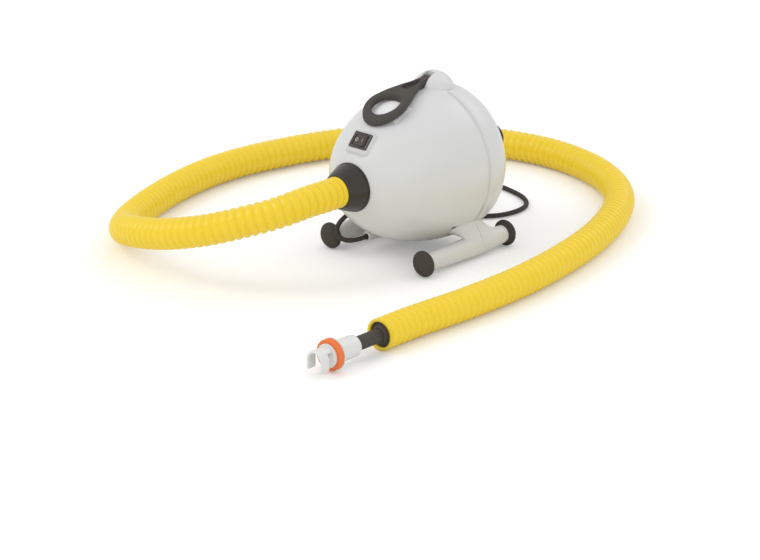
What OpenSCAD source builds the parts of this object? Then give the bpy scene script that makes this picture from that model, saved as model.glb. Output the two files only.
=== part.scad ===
// Mains inflator with an egg-shaped housing on two skids, a folding carry handle,
// a corrugated air hose with a valve adapter, and a mains lead.
// Millimetres. +Z is up, the outlet port faces -Y, and the floor is z = 0.
// Stations are distances in front of the seam between the two housing shells.

/* [Housing] */
// Largest radius of the egg, at the seam
body_r = 102.5; // [96:0.5:112]
// Height of the egg's axis above the floor
axis_z = 114.5; // [110:0.5:135]
// Length of the front half's full ellipse
front_depth = 159; // [156:1:190]
// Length of the rear half's full curve
rear_depth = 72; // [70:1:86]
// Squareness of the rear half, 2 is an ellipse
rear_power = 2.65; // [2.2:0.05:3.2]
// Wall thickness of both shells
wall = 3; // [2.4:0.1:3.6]
// Station of the flat front face that carries the outlet collar
front_face = 151.5; // [149:0.5:153]
// Station behind the seam of the flat face that carries the intake collar
rear_face = 83.5; // [81:0.5:100]

/* [Ports] */
// Largest radius of the port collars
collar_r = 32.3; // [30:0.1:36]
// Largest radius of the intake collar at the rear
rear_collar_r = 28.3; // [26.5:0.1:32]
// Radius of the collar's bell where the hose butts
collar_tip_r = 22.5; // [21:0.5:25]
// Length of the collar's bell
collar_len = 27.5; // [22:0.5:34]
// Outer radius of the hose spigot
spigot_r = 17.5; // [16:0.1:18.4]
// Length of the hose spigot
spigot_len = 16; // [10:0.5:19]
// Wall of the spigot
spigot_wall = 2.5; // [1.8:0.1:4]

/* [Skids] */
// Distance of each skid from the middle plane
skid_x = 80.5; // [74:0.5:88]
// Largest radius of a foot cap, which sets the height of the skid's axis
foot_r = 17.3; // [15:0.1:20]
// Radius of the skid tube at the seam
skid_r = 13.4; // [12:0.1:14.6]
// Radius of the tube at its front end
skid_front_r = 10.8; // [9.8:0.1:12]
// Radius of the tube at its rear end
skid_rear_r = 11.6; // [10:0.1:12.6]
// Station of the front cap's widest circle
foot_front = 103; // [85:1:120]
// Station behind the seam of the rear cap's widest circle
foot_rear = 56; // [45:1:70]

/* [Handle] */
// Outer radius of the grip ring
grip_r = 30; // [27:0.5:34]
// Radius of the finger hole
grip_hole_r = 18.5; // [17:0.5:21]
// Station of the grip ring's centre
grip_station = 86; // [80:1:92]
// Thickness of the handle
handle_t = 9.5; // [8:0.5:9.5]
// Half width of the handle where it enters the hinge slot
hinge_half_w = 6.2; // [5.5:0.1:7.5]
// Radius of the hinge stubs
hinge_stub_r = 3.5; // [3:0.1:4]
// Radius of the hinge housing on top of the egg
hump_r = 29; // [28:0.5:31]

/* [Switch] */
// Width of the switch's bezel
switch_w = 28.6; // [26:0.1:32]
// Height of the switch's bezel
switch_h = 22.2; // [21:0.1:25]
// Slope of the switch's face from level
switch_tilt = 48; // [42:1:54]
// Tilt of the rocker to each side of its middle
rocker_tilt = 8; // [5:0.5:9]

/* [Motor] */
// Radius of the stator
stator_r = 42; // [38:0.5:45]
// Radius of the armature
armature_r = 21; // [18:0.5:21.4]
// Radius of the motor shaft
shaft_r = 4; // [3:0.1:4.5]
// Outer radius of the ball bearings
bearing_r = 11; // [9.5:0.5:12]
// Outer radius of the fan case
fan_case_r = 66; // [60:1:68]
// Radius of the impeller
impeller_r = 58; // [52:1:60]

/* [Hose and adapter] */
// Outer radius of the hose
hose_r = 20.5; // [18:0.1:20.7]
// Radius of the tube on the hose's free end
nozzle_tube_r = 9; // [8:0.1:10]
// Outer radius of the valve adapter's sleeve
sleeve_r = 13.8; // [12:0.1:15]
// Outer radius of the sealing washer
washer_r = 19.8; // [18:0.1:20.5]
// Radius of the bayonet on the adapter's end
bayonet_r = 12.7; // [11:0.1:14]
// Thickness of the sealing washer
washer_t = 8; // [4:0.5:9]

/* [Mains lead] */
// Radius of the mains lead
lead_r = 3.2; // [2.6:0.1:3.3]
// Radius of the coil at the middle of its turns
coil_r = 36; // [32:1:40]
// Height of the stacked coil
coil_h = 19.5; // [16:0.5:22]
// Radius of the plug's body
plug_r = 18.5; // [16:0.5:20]

/* [Hidden] */

$fn = 64;
eps = 0.01;
slip = 0.1;            // play between pieces that slide together at assembly
run_gap = 0.05;        // radial clearance of a turning fit
seam_groove = 0.8;     // depth of the groove along the seam

skid_z = foot_r;
front_reach = front_face + collar_len + spigot_len;
rear_reach = rear_face + collar_len + spigot_len;
seam_y = (front_reach - rear_reach) / 2;

// Egg curves: radius of the housing at a station, in front of and behind the seam
function front_radius(s, r, depth) = r * sqrt(1 - pow(s / depth, 2));
function rear_radius(s, r, depth) = r * pow(1 - pow(s / depth, rear_power), 1 / rear_power);
function egg_top(s) = axis_z + front_radius(s, body_r, front_depth);

// Puts children with their local z along the egg's axis, pointing to the front,
// with local y up and the origin at a station
module at_station(s) translate([0, seam_y - s, axis_z]) rotate([90, 0, 0]) children();
// The same, pointing to the rear, at a distance behind the seam
module behind_seam(s) translate([0, seam_y + s, axis_z]) rotate([-90, 0, 0]) children();
// A box in the frame of at_station: x, y, then the two stations
module station_box(x0, x1, y0, y1, s0, s1) at_station(s0) translate([x0, y0, 0])
  cube([x1 - x0, y1 - y0, s1 - s0]);
module ring(r_out, r_in, h) difference() {
  cylinder(r = r_out, h = h);
  translate([0, 0, -1]) cylinder(r = r_in, h = h + 2);
}
module both_sides() {
  children();
  mirror([1, 0, 0]) children();
}
// Rounded rectangle about the origin, made of true arcs
module rounded_plate(w, h, r) {
  square([w - 2 * r, h], center = true);
  square([w, h - 2 * r], center = true);
  for (x = [-1, 1], y = [-1, 1]) translate([x * (w / 2 - r), y * (h / 2 - r)]) circle(r);
}

// Solid of the front half, grown by a distance and cut at a station
module front_egg(grow, s_end) {
  r = body_r + grow;
  depth = front_depth + grow;
  t_end = asin(min(s_end / depth, 1));
  steps = 14;
  at_station(0) rotate_extrude($fn = 128) polygon(concat([[0, 0]],
    [for (i = [0 : steps]) [r * cos(t_end * i / steps), depth * sin(t_end * i / steps)]],
    [[0, depth * sin(t_end)]]));
}
// Solid of the rear half, grown by a distance
module rear_egg(grow) {
  r = body_r + grow;
  depth = rear_depth + grow;
  steps = 14;
  behind_seam(0) rotate_extrude($fn = 128) polygon(concat([[0, 0]],
    [for (i = [0 : steps - 1]) let (t = 88 * i / (steps - 1))
      [r * pow(cos(t), 2 / rear_power), depth * pow(sin(t), 2 / rear_power)]],
    [[0, depth * pow(sin(88), 2 / rear_power)]]));
}
// Shallow V around the outside of the seam
module seam_cut() at_station(0) rotate_extrude($fn = 128)
  polygon([[body_r - seam_groove, 0], [body_r + 1, 0.6], [body_r + 1, -0.6]]);

// ---- Skids, necks and feet ----
skid_front_end = foot_front - 6;   // the caps' back faces
skid_rear_end = foot_rear - 6;
skid_bore_r = 8;
web_front = 26;
web_rear = 38;
web_top = axis_z - 60;

module on_skid() translate([skid_x, seam_y, skid_z]) rotate([90, 0, 0]) children();
module skid_front() on_skid() rotate_extrude() polygon(concat([[0, 0]],
  [for (i = [0 : 8]) let (k = i / 8)
    [skid_r - (skid_r - skid_front_r) * k * k, skid_front_end * k]],
  [[0, skid_front_end]]));
module skid_rear() on_skid() rotate_extrude() polygon(concat([[0, 0]],
  [for (i = [0 : 6]) let (k = i / 6)
    [skid_r - (skid_r - skid_rear_r) * k * k, -skid_rear_end * k]],
  [[0, -skid_rear_end]]));
// Web between the egg and the skid: its section across, and its outline from the side
module web_section() polygon([[skid_x + 11, skid_z], [skid_x + 10.6, skid_z + 8],
  [skid_x + 7.5, skid_z + 12.6], [skid_x + 2, skid_z + 18], [skid_x - 4.5, axis_z - 69.5],
  [skid_x - 9, web_top], [skid_x - 34, axis_z - 78], [skid_x - 27, axis_z - 89],
  [skid_x - 15, skid_z + 6], [skid_x - 10, skid_z]]);
module web_outline() polygon([[web_front, skid_z], [web_front + 0.5, skid_z + 11],
  [web_front + 5, skid_z + 17], [web_front + 11, skid_z + 25], [web_front + 18, web_top],
  [-web_rear + 12, web_top], [-web_rear + 14, skid_z + 29], [-web_rear + 10, skid_z + 21],
  [-web_rear + 3.5, skid_z + 14], [-web_rear, skid_z + 9], [-web_rear, skid_z]]);
module neck() intersection() {
  translate([0, seam_y + 60, 0]) rotate([90, 0, 0]) linear_extrude(120) web_section();
  translate([120, seam_y, 0]) rotate([90, 0, -90]) linear_extrude(120) web_outline();
}
module front_half_space() translate([-200, seam_y - 300, -10]) cube([400, 300, 400]);
module rear_half_space() translate([-200, seam_y, -10]) cube([400, 300, 400]);
module front_legs() both_sides() difference() {
  union() {
    skid_front();
    intersection() {
      neck();
      front_half_space();
    }
  }
  on_skid() translate([0, 0, skid_front_end - 40]) cylinder(r = skid_bore_r, h = 41);
  front_egg(-wall / 2, front_face);
}
module rear_legs() both_sides() difference() {
  union() {
    skid_rear();
    intersection() {
      neck();
      rear_half_space();
    }
  }
  on_skid() translate([0, 0, -skid_rear_end - 1]) cylinder(r = skid_bore_r, h = 31);
  rear_egg(-wall / 2);
}
// Mushroom-shaped rubber cap with a stem in the tube's bore; local z points away from the skid
module foot_cap(tube_end_r) {
  rotate_extrude() polygon([[0, 8.5], [7, 8], [12, 6.6], [15.2, 4.6], [foot_r - 0.6, 2.4], [foot_r, 1],
    [foot_r, -0.8], [foot_r - 1.2, -2], [foot_r - 3.6, -3.4], [tube_end_r + 0.8, -6], [0, -6]]);
  translate([0, 0, -20]) cylinder(r = skid_bore_r - slip, h = 15);
}
module front_foot(side) translate([side * skid_x, seam_y - foot_front, skid_z])
  rotate([90, 0, 0]) foot_cap(skid_front_r);
module rear_foot(side) translate([side * skid_x, seam_y + foot_rear, skid_z])
  rotate([-90, 0, 0]) foot_cap(skid_rear_r);

// ---- Hinge housing and handle ----
hump_station = -4.6;
hump_z = axis_z + 89.9;
hinge_station = 5;
hinge_z = egg_top(hinge_station) + 6.5;
stub_end = 13.5;
slot_rear = -1.6;
handle_gap = 1.2;      // space under the folded handle

module hinge_axis(r, half_len) translate([-half_len, seam_y - hinge_station, hinge_z])
  rotate([0, 90, 0]) cylinder(r = r, h = 2 * half_len);
module hump() difference() {
  translate([0, seam_y - hump_station, hump_z]) sphere(r = hump_r, $fn = 96);
  front_egg(-wall / 2, front_face);
  rear_egg(0.3);
  difference() {
    translate([-hinge_half_w - 0.5, seam_y - 45, axis_z]) cube([2 * hinge_half_w + 1, 45 - slot_rear, 140]);
    front_egg(0, front_face);
  }
  hinge_axis(hinge_stub_r + run_gap, stub_end + 0.6);
}
// Plan of the handle: x and station
module handle_plan() difference() {
  union() {
    translate([0, grip_station]) circle(grip_r, $fn = 96);
    polygon([[-hinge_half_w, hinge_station], [hinge_half_w, hinge_station], [hinge_half_w, 24],
      [11.8, 38], [17, 50], [grip_r * 0.87, grip_station - grip_r * 0.5],
      [-grip_r * 0.87, grip_station - grip_r * 0.5], [-17, 50], [-11.8, 38], [-hinge_half_w, 24]]);
  }
  translate([0, grip_station]) circle(grip_hole_r, $fn = 96);
}
// Side view of the handle: it follows the top of the egg, from the hinge to the ring's far end
function handle_under(s) = egg_top(s) + handle_gap;
module handle_side() polygon(concat(
  [for (i = [0 : 12]) let (s = hinge_station + (grip_station + grip_r - hinge_station) * i / 12)
    [s, handle_under(s)]],
  [for (i = [12 : -1 : 0]) let (s = hinge_station + (grip_station + grip_r - hinge_station) * i / 12)
    [s, handle_under(s) + handle_t]]));
module carry_handle() color("#37312c") {
  difference() {
    union() {
      intersection() {
        translate([0, seam_y, axis_z]) linear_extrude(140) mirror([0, 1]) handle_plan();
        translate([50, seam_y, 0]) rotate([90, 0, -90]) linear_extrude(100) handle_side();
      }
      hinge_axis(5.2, hinge_half_w);
      hinge_axis(hinge_stub_r, stub_end);
    }
    // wedge-shaped recess between the two arms
    translate([0, seam_y, 0]) intersection() {
      linear_extrude(300) mirror([0, 1]) polygon([[-1.4, 19], [1.4, 19],
        [8.5, 42], [7, 49], [-7, 49], [-8.5, 42]]);
      translate([20, 0, 5]) rotate([90, 0, -90]) linear_extrude(40) handle_side();
    }
  }
}

// ---- Switch ----
switch_station = 133;
switch_face_z = egg_top(switch_station) + 0.8;
switch_hole_w = switch_w - 2.4;
switch_hole_h = switch_h - 2.4;
rocker_w = switch_w - 7;
rocker_h = switch_h - 6.6;
rocker_r = rocker_w / 2 - 0.3;
rocker_pivot = -3;
pivot_r = 1.5;

module at_switch() translate([0, seam_y - switch_station, switch_face_z])
  rotate([switch_tilt, 0, 0]) children();
module switch_pad() at_switch() translate([0, -2, -9]) linear_extrude(9)
  rounded_plate(switch_w + 6, switch_h + 9, 4);
module switch_body() color("#2b2522") at_switch() difference() {
  union() {
    linear_extrude(2) rounded_plate(switch_w, switch_h, 1);
    translate([-switch_hole_w / 2 + slip, -switch_hole_h / 2 + slip, -22])
      cube([switch_hole_w - 2 * slip, switch_hole_h - 2 * slip, 22 + eps]);
  }
  translate([-rocker_w / 2, -rocker_h / 2, -15]) cube([rocker_w, rocker_h, 20]);
  translate([0, 0, rocker_pivot]) rotate([90, 0, 0]) translate([0, 0, -rocker_h / 2 - 1.1])
    cylinder(r = pivot_r + run_gap, h = rocker_h + 2.2);
}
module switch_rocker() color("#3a2f2a") at_switch() translate([0, 0, rocker_pivot])
  rotate([0, -rocker_tilt, 0]) rotate([90, 0, 0]) {
    translate([0, 0, -rocker_h / 2 + 0.3]) linear_extrude(rocker_h - 0.6) intersection() {
      circle(rocker_r, $fn = 96);
      polygon([[-rocker_r - 1, -6], [rocker_r + 1, -6], [rocker_r + 1, 7.2], [0, 5], [-rocker_r - 1, 7.2]]);
    }
    translate([0, 0, -rocker_h / 2 - 0.9]) cylinder(r = pivot_r, h = rocker_h + 1.8);
  }
module switch_terminals() color("#c9a24a") at_switch() for (x = [-8, 0, 8])
  translate([x - 2.4, -0.4, -30]) cube([4.8, 0.8, 8]);

// ---- Lead duct under the belly ----
duct_x = -38;
duct_z = 20;
duct_mouth = 82;
duct_bore_r = 4.4;
module duct_outer() translate([duct_x, seam_y - duct_mouth, duct_z]) rotate([-90, 0, 0])
  rotate_extrude() polygon([[0, 0], [5.6, 0], [6.4, 1], [7.4, 22], [11, 44], [13, 62], [0, 62]]);
module duct_bore() {
  translate([duct_x, seam_y - duct_mouth - 1, duct_z]) rotate([-90, 0, 0])
    cylinder(r = duct_bore_r, h = 41);
  translate([duct_x, seam_y - duct_mouth + 40, duct_z]) {
    sphere(r = duct_bore_r + 0.5, $fn = 48);
    rotate([-62, 0, 0]) cylinder(r = duct_bore_r, h = 40);
  }
}

// ---- Screws, bulkhead and motor supports inside the shells ----
screw_ring_r = 84;
screw_angles = [28, 152, 250, 290];
screw_r = 2;
boss_r = 6.5;
boss_front = 24;
screw_seat = 22;
module around(angle) rotate([0, 0, angle]) translate([screw_ring_r, 0, 0]) children();
module boss_plan() for (a = screw_angles) rotate([0, 0, a]) {
  translate([screw_ring_r, 0]) circle(boss_r);
  translate([screw_ring_r, -2]) square([40, 4]);
}
platform_z = 34;
platform_front = 74;
platform_rear = 46;
nose_mount_r = 19;
nose_mount_front = 92;
nose_mount_rear = 77.5;
seal_r = 73;
bulkhead_front = -27.5;
module front_inside() intersection() {
  front_egg(-wall / 2, front_face);
  union() {
    at_station(0) linear_extrude(boss_front) boss_plan();
    // spider that holds the motor's nose
    at_station(nose_mount_rear) ring(nose_mount_r + 3, nose_mount_r, nose_mount_front - nose_mount_rear);
    at_station(89) ring(nose_mount_r + 1, 8, nose_mount_front - 89);
    for (a = [45 : 90 : 315]) at_station(nose_mount_rear) rotate([0, 0, a])
      translate([nose_mount_r + 1, -1.5, 0]) cube([80, 3, nose_mount_front - nose_mount_rear]);
    // platform for the terminal block and the capacitor
    translate([-36, seam_y - platform_front, 5]) cube([72, platform_front - platform_rear, platform_z - 5]);
  }
}
module rear_inside() intersection() {
  rear_egg(-wall / 2);
  union() {
    behind_seam(0) linear_extrude(60) mirror([0, 1]) boss_plan();
    // bulkhead between the intake and the pressure side, with its seat for the rubber ring
    behind_seam(-bulkhead_front) ring(body_r, fan_case_r + 2, 2.5);
    behind_seam(12) ring(seal_r + 2.5, seal_r, -bulkhead_front - 12 + eps);
    // rim that holds the intake filter and its guard
    behind_seam(54) ring(42.5, 40, 30);
  }
}
sleeve_len = 12;
rear_neck_r = rear_collar_r + 0.7;
sleeve_in_r = 21.4;
module port_sleeve() ring(sleeve_in_r + 2.6, sleeve_in_r, sleeve_len);
lip_len = 4;

module front_shell() color("#b9bab8") difference() {
  union() {
    difference() {
      front_egg(0, front_face);
      front_egg(-wall, front_face - wall);
      seam_cut();
    }
    // lip that centres the rear shell
    at_station(-lip_len) ring(body_r - wall - slip - 0.1, body_r - wall - 2.2, lip_len + 0.2);
    at_station(0) ring(body_r - wall + 0.6, body_r - wall - 2.2, 5);
    front_legs();
    hump();
    difference() {
      intersection() {
        switch_pad();
        front_half_space();
      }
      front_egg(-wall - 5, front_face);
    }
    difference() {
      duct_outer();
      front_egg(-wall / 2, front_face);
    }
    at_station(front_face - sleeve_len) port_sleeve();
    front_inside();
  }
  at_station(front_face - 20) cylinder(r = sleeve_in_r, h = 30);
  duct_bore();
  at_switch() translate([-switch_hole_w / 2, -switch_hole_h / 2, -30])
    cube([switch_hole_w, switch_hole_h, 40]);
  at_station(-1) for (a = screw_angles) around(a) cylinder(r = screw_r - 0.2, h = 20);
}
module rear_shell() color("#b9bab8") difference() {
  union() {
    difference() {
      union() {
        rear_egg(0);
        behind_seam(rear_depth - 15) cylinder(r = rear_neck_r, h = rear_face - rear_depth + 15);
      }
      rear_egg(-wall);
      seam_cut();
      behind_seam(rear_depth - 15) cylinder(r = rear_neck_r - wall, h = rear_face - rear_depth + 15 - wall);
    }
    behind_seam(rear_face - sleeve_len) port_sleeve();
    rear_legs();
    rear_inside();
  }
  behind_seam(rear_face - 20) cylinder(r = sleeve_in_r, h = 30);
  behind_seam(-1) ring(body_r - wall, body_r - wall - 3, lip_len + 1.3);
  behind_seam(-1) mirror([0, 1]) for (a = screw_angles) around(a) {
    cylinder(r = screw_r + 0.2, h = 60);
    translate([0, 0, screw_seat + 1]) cylinder(r = 4.4, h = 60);
  }
}
module shell_screws() color("#8f9296") behind_seam(0) mirror([0, 1])
  for (a = screw_angles) around(a) difference() {
  union() {
    translate([0, 0, -14]) cylinder(r = screw_r - 0.2, h = 14 + screw_seat);
    translate([0, 0, screw_seat]) cylinder(r = 4, h = 3);
  }
  for (t = [0, 90]) rotate([0, 0, t]) translate([-2.4, -0.5, screw_seat + 1.6]) cube([4.8, 1, 2]);
}

// ---- Port collars, guard and filter ----
// Bell with a groove by its rim, a spigot for the hose and a tail in the shell's sleeve
module port_collar(rim_r) rotate_extrude($fn = 96) polygon(concat(
  [[spigot_r - spigot_wall, -sleeve_len], [sleeve_in_r - slip / 2, -sleeve_len], [sleeve_in_r - slip / 2, 0],
   [rim_r, 0], [rim_r, 2.2], [rim_r - 1.3, 2.6], [rim_r - 1.3, 3.6], [rim_r - 0.5, 4]],
  [for (i = [0 : 8]) let (k = i / 8)
    [collar_tip_r + (rim_r - 0.9 - collar_tip_r) * pow(1 - k, 0.85), 4.4 + (collar_len - 5.4) * k]],
  [[collar_tip_r - 0.8, collar_len], [spigot_r, collar_len], [spigot_r, collar_len + spigot_len - 1],
   [spigot_r - 0.8, collar_len + spigot_len], [spigot_r - spigot_wall, collar_len + spigot_len]]));
module front_port_collar() color("#39332d") at_station(front_face) port_collar(collar_r);
module rear_port_collar() color("#39332d") behind_seam(rear_face) port_collar(rear_collar_r);
guard_r = 39.8;
module intake_guard() color("#4a4a48") behind_seam(54) difference() {
  cylinder(r = guard_r, h = 3);
  for (i = [-4 : 4]) let (x = i * 8, half = sqrt(pow(guard_r - 5, 2) - x * x))
    translate([x - 2.6, -half, -1]) cube([5.2, 2 * half, 5]);
}
module intake_filter() color("#5c5f60") behind_seam(57) cylinder(r = guard_r, h = 7);

// ---- Label, gland and wiring ----
module data_label() color("#eef0f0") intersection() {
  difference() {
    front_egg(0.4, front_face);
    front_egg(0.05, front_face);
  }
  translate([-26, seam_y - 97, axis_z]) cube([52, 31, 130]);
}
module cord_gland() color("#2f2a27") translate([duct_x, seam_y - duct_mouth + 2, duct_z]) rotate([-90, 0, 0])
  ring(duct_bore_r, lead_r + slip, 16);

function unit(v) = v / norm(v);
function tangent_at(p, i) = i == 0 ? unit(p[1] - p[0]) : i == len(p) - 1 ? unit(p[i] - p[i - 1])
  : unit(unit(p[i + 1] - p[i]) + unit(p[i] - p[i - 1]));
// One round of points about a route's point, square to the route
function round_points(centre, t, r, sides) =
  let (side = unit(cross(t, [0.02, 0.01, 1])), up = cross(side, t))
  [for (k = [0 : sides - 1]) centre + r * (cos(360 * k / sides) * side + sin(360 * k / sides) * up)];
// A tube of one radius along a route
module swept_tube(route, r, sides = 8) {
  n = len(route);
  points = [for (i = [0 : n - 1]) each round_points(route[i], tangent_at(route, i), r, sides)];
  walls = [for (i = [0 : n - 2], k = [0 : sides - 1])
    let (a = i * sides + k, b = i * sides + (k + 1) % sides)
    each [[a, b, b + sides], [a, b + sides, a + sides]]];
  polyhedron(points, concat([[for (k = [sides - 1 : -1 : 0]) k]], walls,
    [[for (k = [0 : sides - 1]) (n - 1) * sides + k]]));
}
function at(x, s, z) = [x, seam_y - s, z];
function switch_at(x, y, z) = [x, seam_y - switch_station + y * cos(switch_tilt) - z * sin(switch_tilt),
  switch_face_z + y * sin(switch_tilt) + z * cos(switch_tilt)];
module inner_lead() color("#2f2a27") swept_tube([at(duct_x, duct_mouth - 2, duct_z), at(duct_x, 62, duct_z),
  at(duct_x, 46, duct_z), at(duct_x, 41, 20.7), at(duct_x, 34, 24.3), at(duct_x, 20, 31.7),
  at(duct_x, 8, 38.4),
  at(-36, 2, 44), at(-30, 2, 50), at(-22, 8, 53), at(-16, 18, 52), at(-14, 30, 46), at(-14, 38, 42),
  at(-14, 48, 42)], lead_r - 0.2);
module terminal_block() color("#e4e1d8") difference() {
  translate([-30, seam_y - 70, platform_z]) cube([32, 22, 14]);
  for (x = [-22, -14, -6]) translate([x, seam_y - 64, platform_z + 6]) cylinder(r = 2.4, h = 10);
}
module capacitor() color("#d8b64c")
  translate([6, seam_y - 60, platform_z + 9]) rotate([0, 90, 0]) cylinder(r = 9, h = 26);
module switch_leads() color("#8a5a2e") {
  swept_tube([at(-22, 70.1, 43), at(-22, 76, 43), at(-25, 88, 54), at(-25, 102, 76), at(-20, 108, 100),
    at(-12, 106, 122), switch_at(-8, 0, -42), switch_at(-8, 0, -36), switch_at(-8, 0, -30.1)], 1.2);
  swept_tube([at(-6, 70.1, 43), at(-6, 76, 43), at(-11, 92, 58), at(-12, 106, 84), at(-6, 110, 106),
    at(-1, 106, 124), switch_at(0, 0, -42), switch_at(0, 0, -36), switch_at(0, 0, -30.1)], 1.2);
}
// ---- Fan and motor; stations run from the fan at the rear to the brushes at the front ----
case_rear = -36;
case_front = -3;
case_wall = 1.2;
eye_r = 22;
bracket_rear = -6;
core_rear = 18;
core_front = 54;
commutator_rear = 63;
commutator_len = 10;
commutator_r = 11;
bearing_w = 7;
rear_bearing_at = 0;
front_bearing_at = 80;
bridge_at = 73.5;
hub_r = bearing_r + 2.5;
coil_in = armature_r + 1.3;
coil_out = stator_r - 8;
tie_r = stator_r - 4;
tie_angles = [45, 225];

module rear_mount_ring() color("#26262a") at_station(bulkhead_front) difference() {
  cylinder(r = seal_r - slip, h = 13);
  translate([0, 0, -1]) cylinder(r = fan_case_r, h = 15);
}
module front_mount_ring() color("#26262a") at_station(79) ring(nose_mount_r - slip, hub_r + 0.05, 9.5);
module fan_case() color("#c2c5c8") at_station(case_rear) difference() {
  cylinder(r = fan_case_r, h = case_front - case_rear);
  translate([0, 0, case_wall]) cylinder(r = fan_case_r - case_wall, h = 60);
  translate([0, 0, -1]) cylinder(r = eye_r, h = 4);
}
module guide_vane_plate() color("#b7babd") {
  at_station(-15) ring(impeller_r + 2, 9, 2);
  at_station(-13 - eps) intersection() {
    ring(fan_case_r - case_wall - 0.05, 18, 7);
    for (a = [0 : 45 : 315]) rotate([0, 0, a]) translate([18, 8, 0]) rotate([0, 0, -18]) cube([60, 1.4, 7]);
  }
}
module motor_rear_bracket() color("#aeb2b6") {
  difference() {
    union() {
      at_station(bracket_rear) cylinder(r = fan_case_r - case_wall - 0.05, h = 3);
      at_station(-3 - eps) cylinder(r = hub_r, h = bearing_w + 3);
      at_station(-3 - eps) ring(stator_r, stator_r - 3, core_rear + 3);
    }
    at_station(rear_bearing_at) cylinder(r = bearing_r, h = 20);
    at_station(-10) cylinder(r = shaft_r + 1, h = 20);
    for (a = [0 : 60 : 300]) at_station(-10) rotate([0, 0, a]) translate([28, 0, 0]) cylinder(r = 7, h = 9);
    for (a = [0 : 60 : 300]) at_station(2) rotate([0, 0, a])
      translate([stator_r - 10, -8, 0]) cube([20, 16, 12]);
    for (a = tie_angles) at_station(-10) rotate([0, 0, a])
      translate([tie_r, 0, 0]) cylinder(r = 1.6, h = 40);
  }
}
module motor_front_bracket() color("#aeb2b6") difference() {
  union() {
    at_station(core_front) ring(stator_r, stator_r - 7, 3);
    for (side = [0, 1]) rotate_pole(side) station_box(-8, 8, stator_r - 8, stator_r - 0.6,
      core_front, bridge_at + 3);
    station_box(-8, 8, 0.6 - stator_r, stator_r - 0.6, bridge_at, bridge_at + 3);
    at_station(bridge_at) cylinder(r = hub_r, h = 89 - bridge_at);
  }
  at_station(front_bearing_at) cylinder(r = bearing_r, h = 20);
  at_station(70) cylinder(r = shaft_r + 1, h = 20);
  for (a = tie_angles) at_station(50) rotate([0, 0, a]) translate([tie_r, 0, 0]) cylinder(r = 2.1, h = 10);
}
module motor_screws() color("#7e8186")
  for (a = tie_angles) at_station(8) rotate([0, 0, a]) translate([tie_r, 0, 0]) {
  cylinder(r = 1.6, h = core_front + 3 - 8);
  translate([0, 0, core_front + 3 - 8]) cylinder(r = 3.4, h = 2.4);
}
module stator_core() color("#6d7278") at_station(core_rear) difference() {
  cylinder(r = stator_r, h = core_front - core_rear);
  translate([0, 0, -1]) {
    cylinder(r = armature_r + 0.6, h = 60);
    for (side = [-1, 1]) translate([side > 0 ? armature_r - 4 : -coil_out - 0.2, -14.2, 0])
      cube([coil_out + 0.2 - armature_r + 4, 28.4, 60]);
    for (a = tie_angles) rotate([0, 0, a]) translate([tie_r, 0, 0]) cylinder(r = 2.1, h = 60);
  }
}
// Two field coils: bars in the stator's side pockets and end turns over the poles
module field_coils() color("#b4622c") for (side = [-1, 1]) rotate_pole(side) {
  for (x = [-coil_out, coil_in]) station_box(x, x + coil_out - coil_in, 0.6, 14, core_rear, core_front);
  intersection() {
    at_station(10) cylinder(r = stator_r - 7.4, h = 60);
    for (s = [core_rear - 5.5, core_front]) {
      for (x = [-coil_out, coil_in]) station_box(x, x + coil_out - coil_in, 0.6, 29, s, s + 5.5);
      station_box(-coil_out, coil_out, 23, 29, s, s + 5.5);
    }
  }
}
module rotate_pole(side) translate([0, 0, axis_z]) mirror([0, 0, side > 0 ? 0 : 1])
  translate([0, 0, -axis_z]) children();
holder_mid = commutator_rear + commutator_len / 2;
// Each lead ends on the outer side of a brush holder
module motor_leads() color("#3d5f96") {
  swept_tube([switch_at(8, 0, -30.1), switch_at(8, 0, -36), switch_at(9, 0, -42), at(18, 100, 134),
    at(34, 94, 126), at(46, 84, 119), at(51, 75, 115.5), at(49, 69.5, axis_z), at(45, holder_mid, axis_z),
    at(stator_r - 0.5, holder_mid, axis_z)], 1.2);
  swept_tube([at(-14, 70.1, 43), at(-14, 73.5, 43.5), at(-20, 74.5, 47), at(-36, 74.5, 62), at(-48, 74, 84),
    at(-52, 72, 104), at(-50, 69.5, 112), at(-46, holder_mid, axis_z),
    at(0.5 - stator_r, holder_mid, axis_z)], 1.2);
}
module brush_holders() color("#c8a04a") both_sides() difference() {
  union() {
    station_box(12.6, 36, -4, 4, holder_mid - 5, holder_mid + 5);
    station_box(34, stator_r - 0.6, -5, 5, core_front + 3, holder_mid + 5);
  }
  station_box(10, 33, -2.9, 2.9, holder_mid - 3.9, holder_mid + 3.9);
}
module carbon_brushes() color("#2a2a2c") both_sides()
  station_box(commutator_r + 0.3, 25, -2.8, 2.8, holder_mid - 3.8, holder_mid + 3.8);
module brush_springs() color("#a8acb0") both_sides() for (i = [0 : 4])
  translate([25.6 + i * 1.55, seam_y - holder_mid, axis_z]) rotate([0, 90, 0])
    rotate_extrude($fn = 32) translate([2.1, 0]) circle(0.5, $fn = 16);
module bearing() difference() {
  cylinder(r = bearing_r, h = bearing_w);
  translate([0, 0, -1]) cylinder(r = shaft_r + 0.03, h = bearing_w + 2);
  for (z = [-1, bearing_w - 0.6]) translate([0, 0, z]) ring(bearing_r - 2, shaft_r + 2, 1.6);
}
module front_bearing() color("#d4d7da") at_station(front_bearing_at) bearing();
module rear_bearing() color("#d4d7da") at_station(rear_bearing_at) bearing();
module rotor_shaft() color("#9fa3a8") at_station(-35) cylinder(r = shaft_r, h = 35 + 88);
slot_count = 12;
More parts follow.
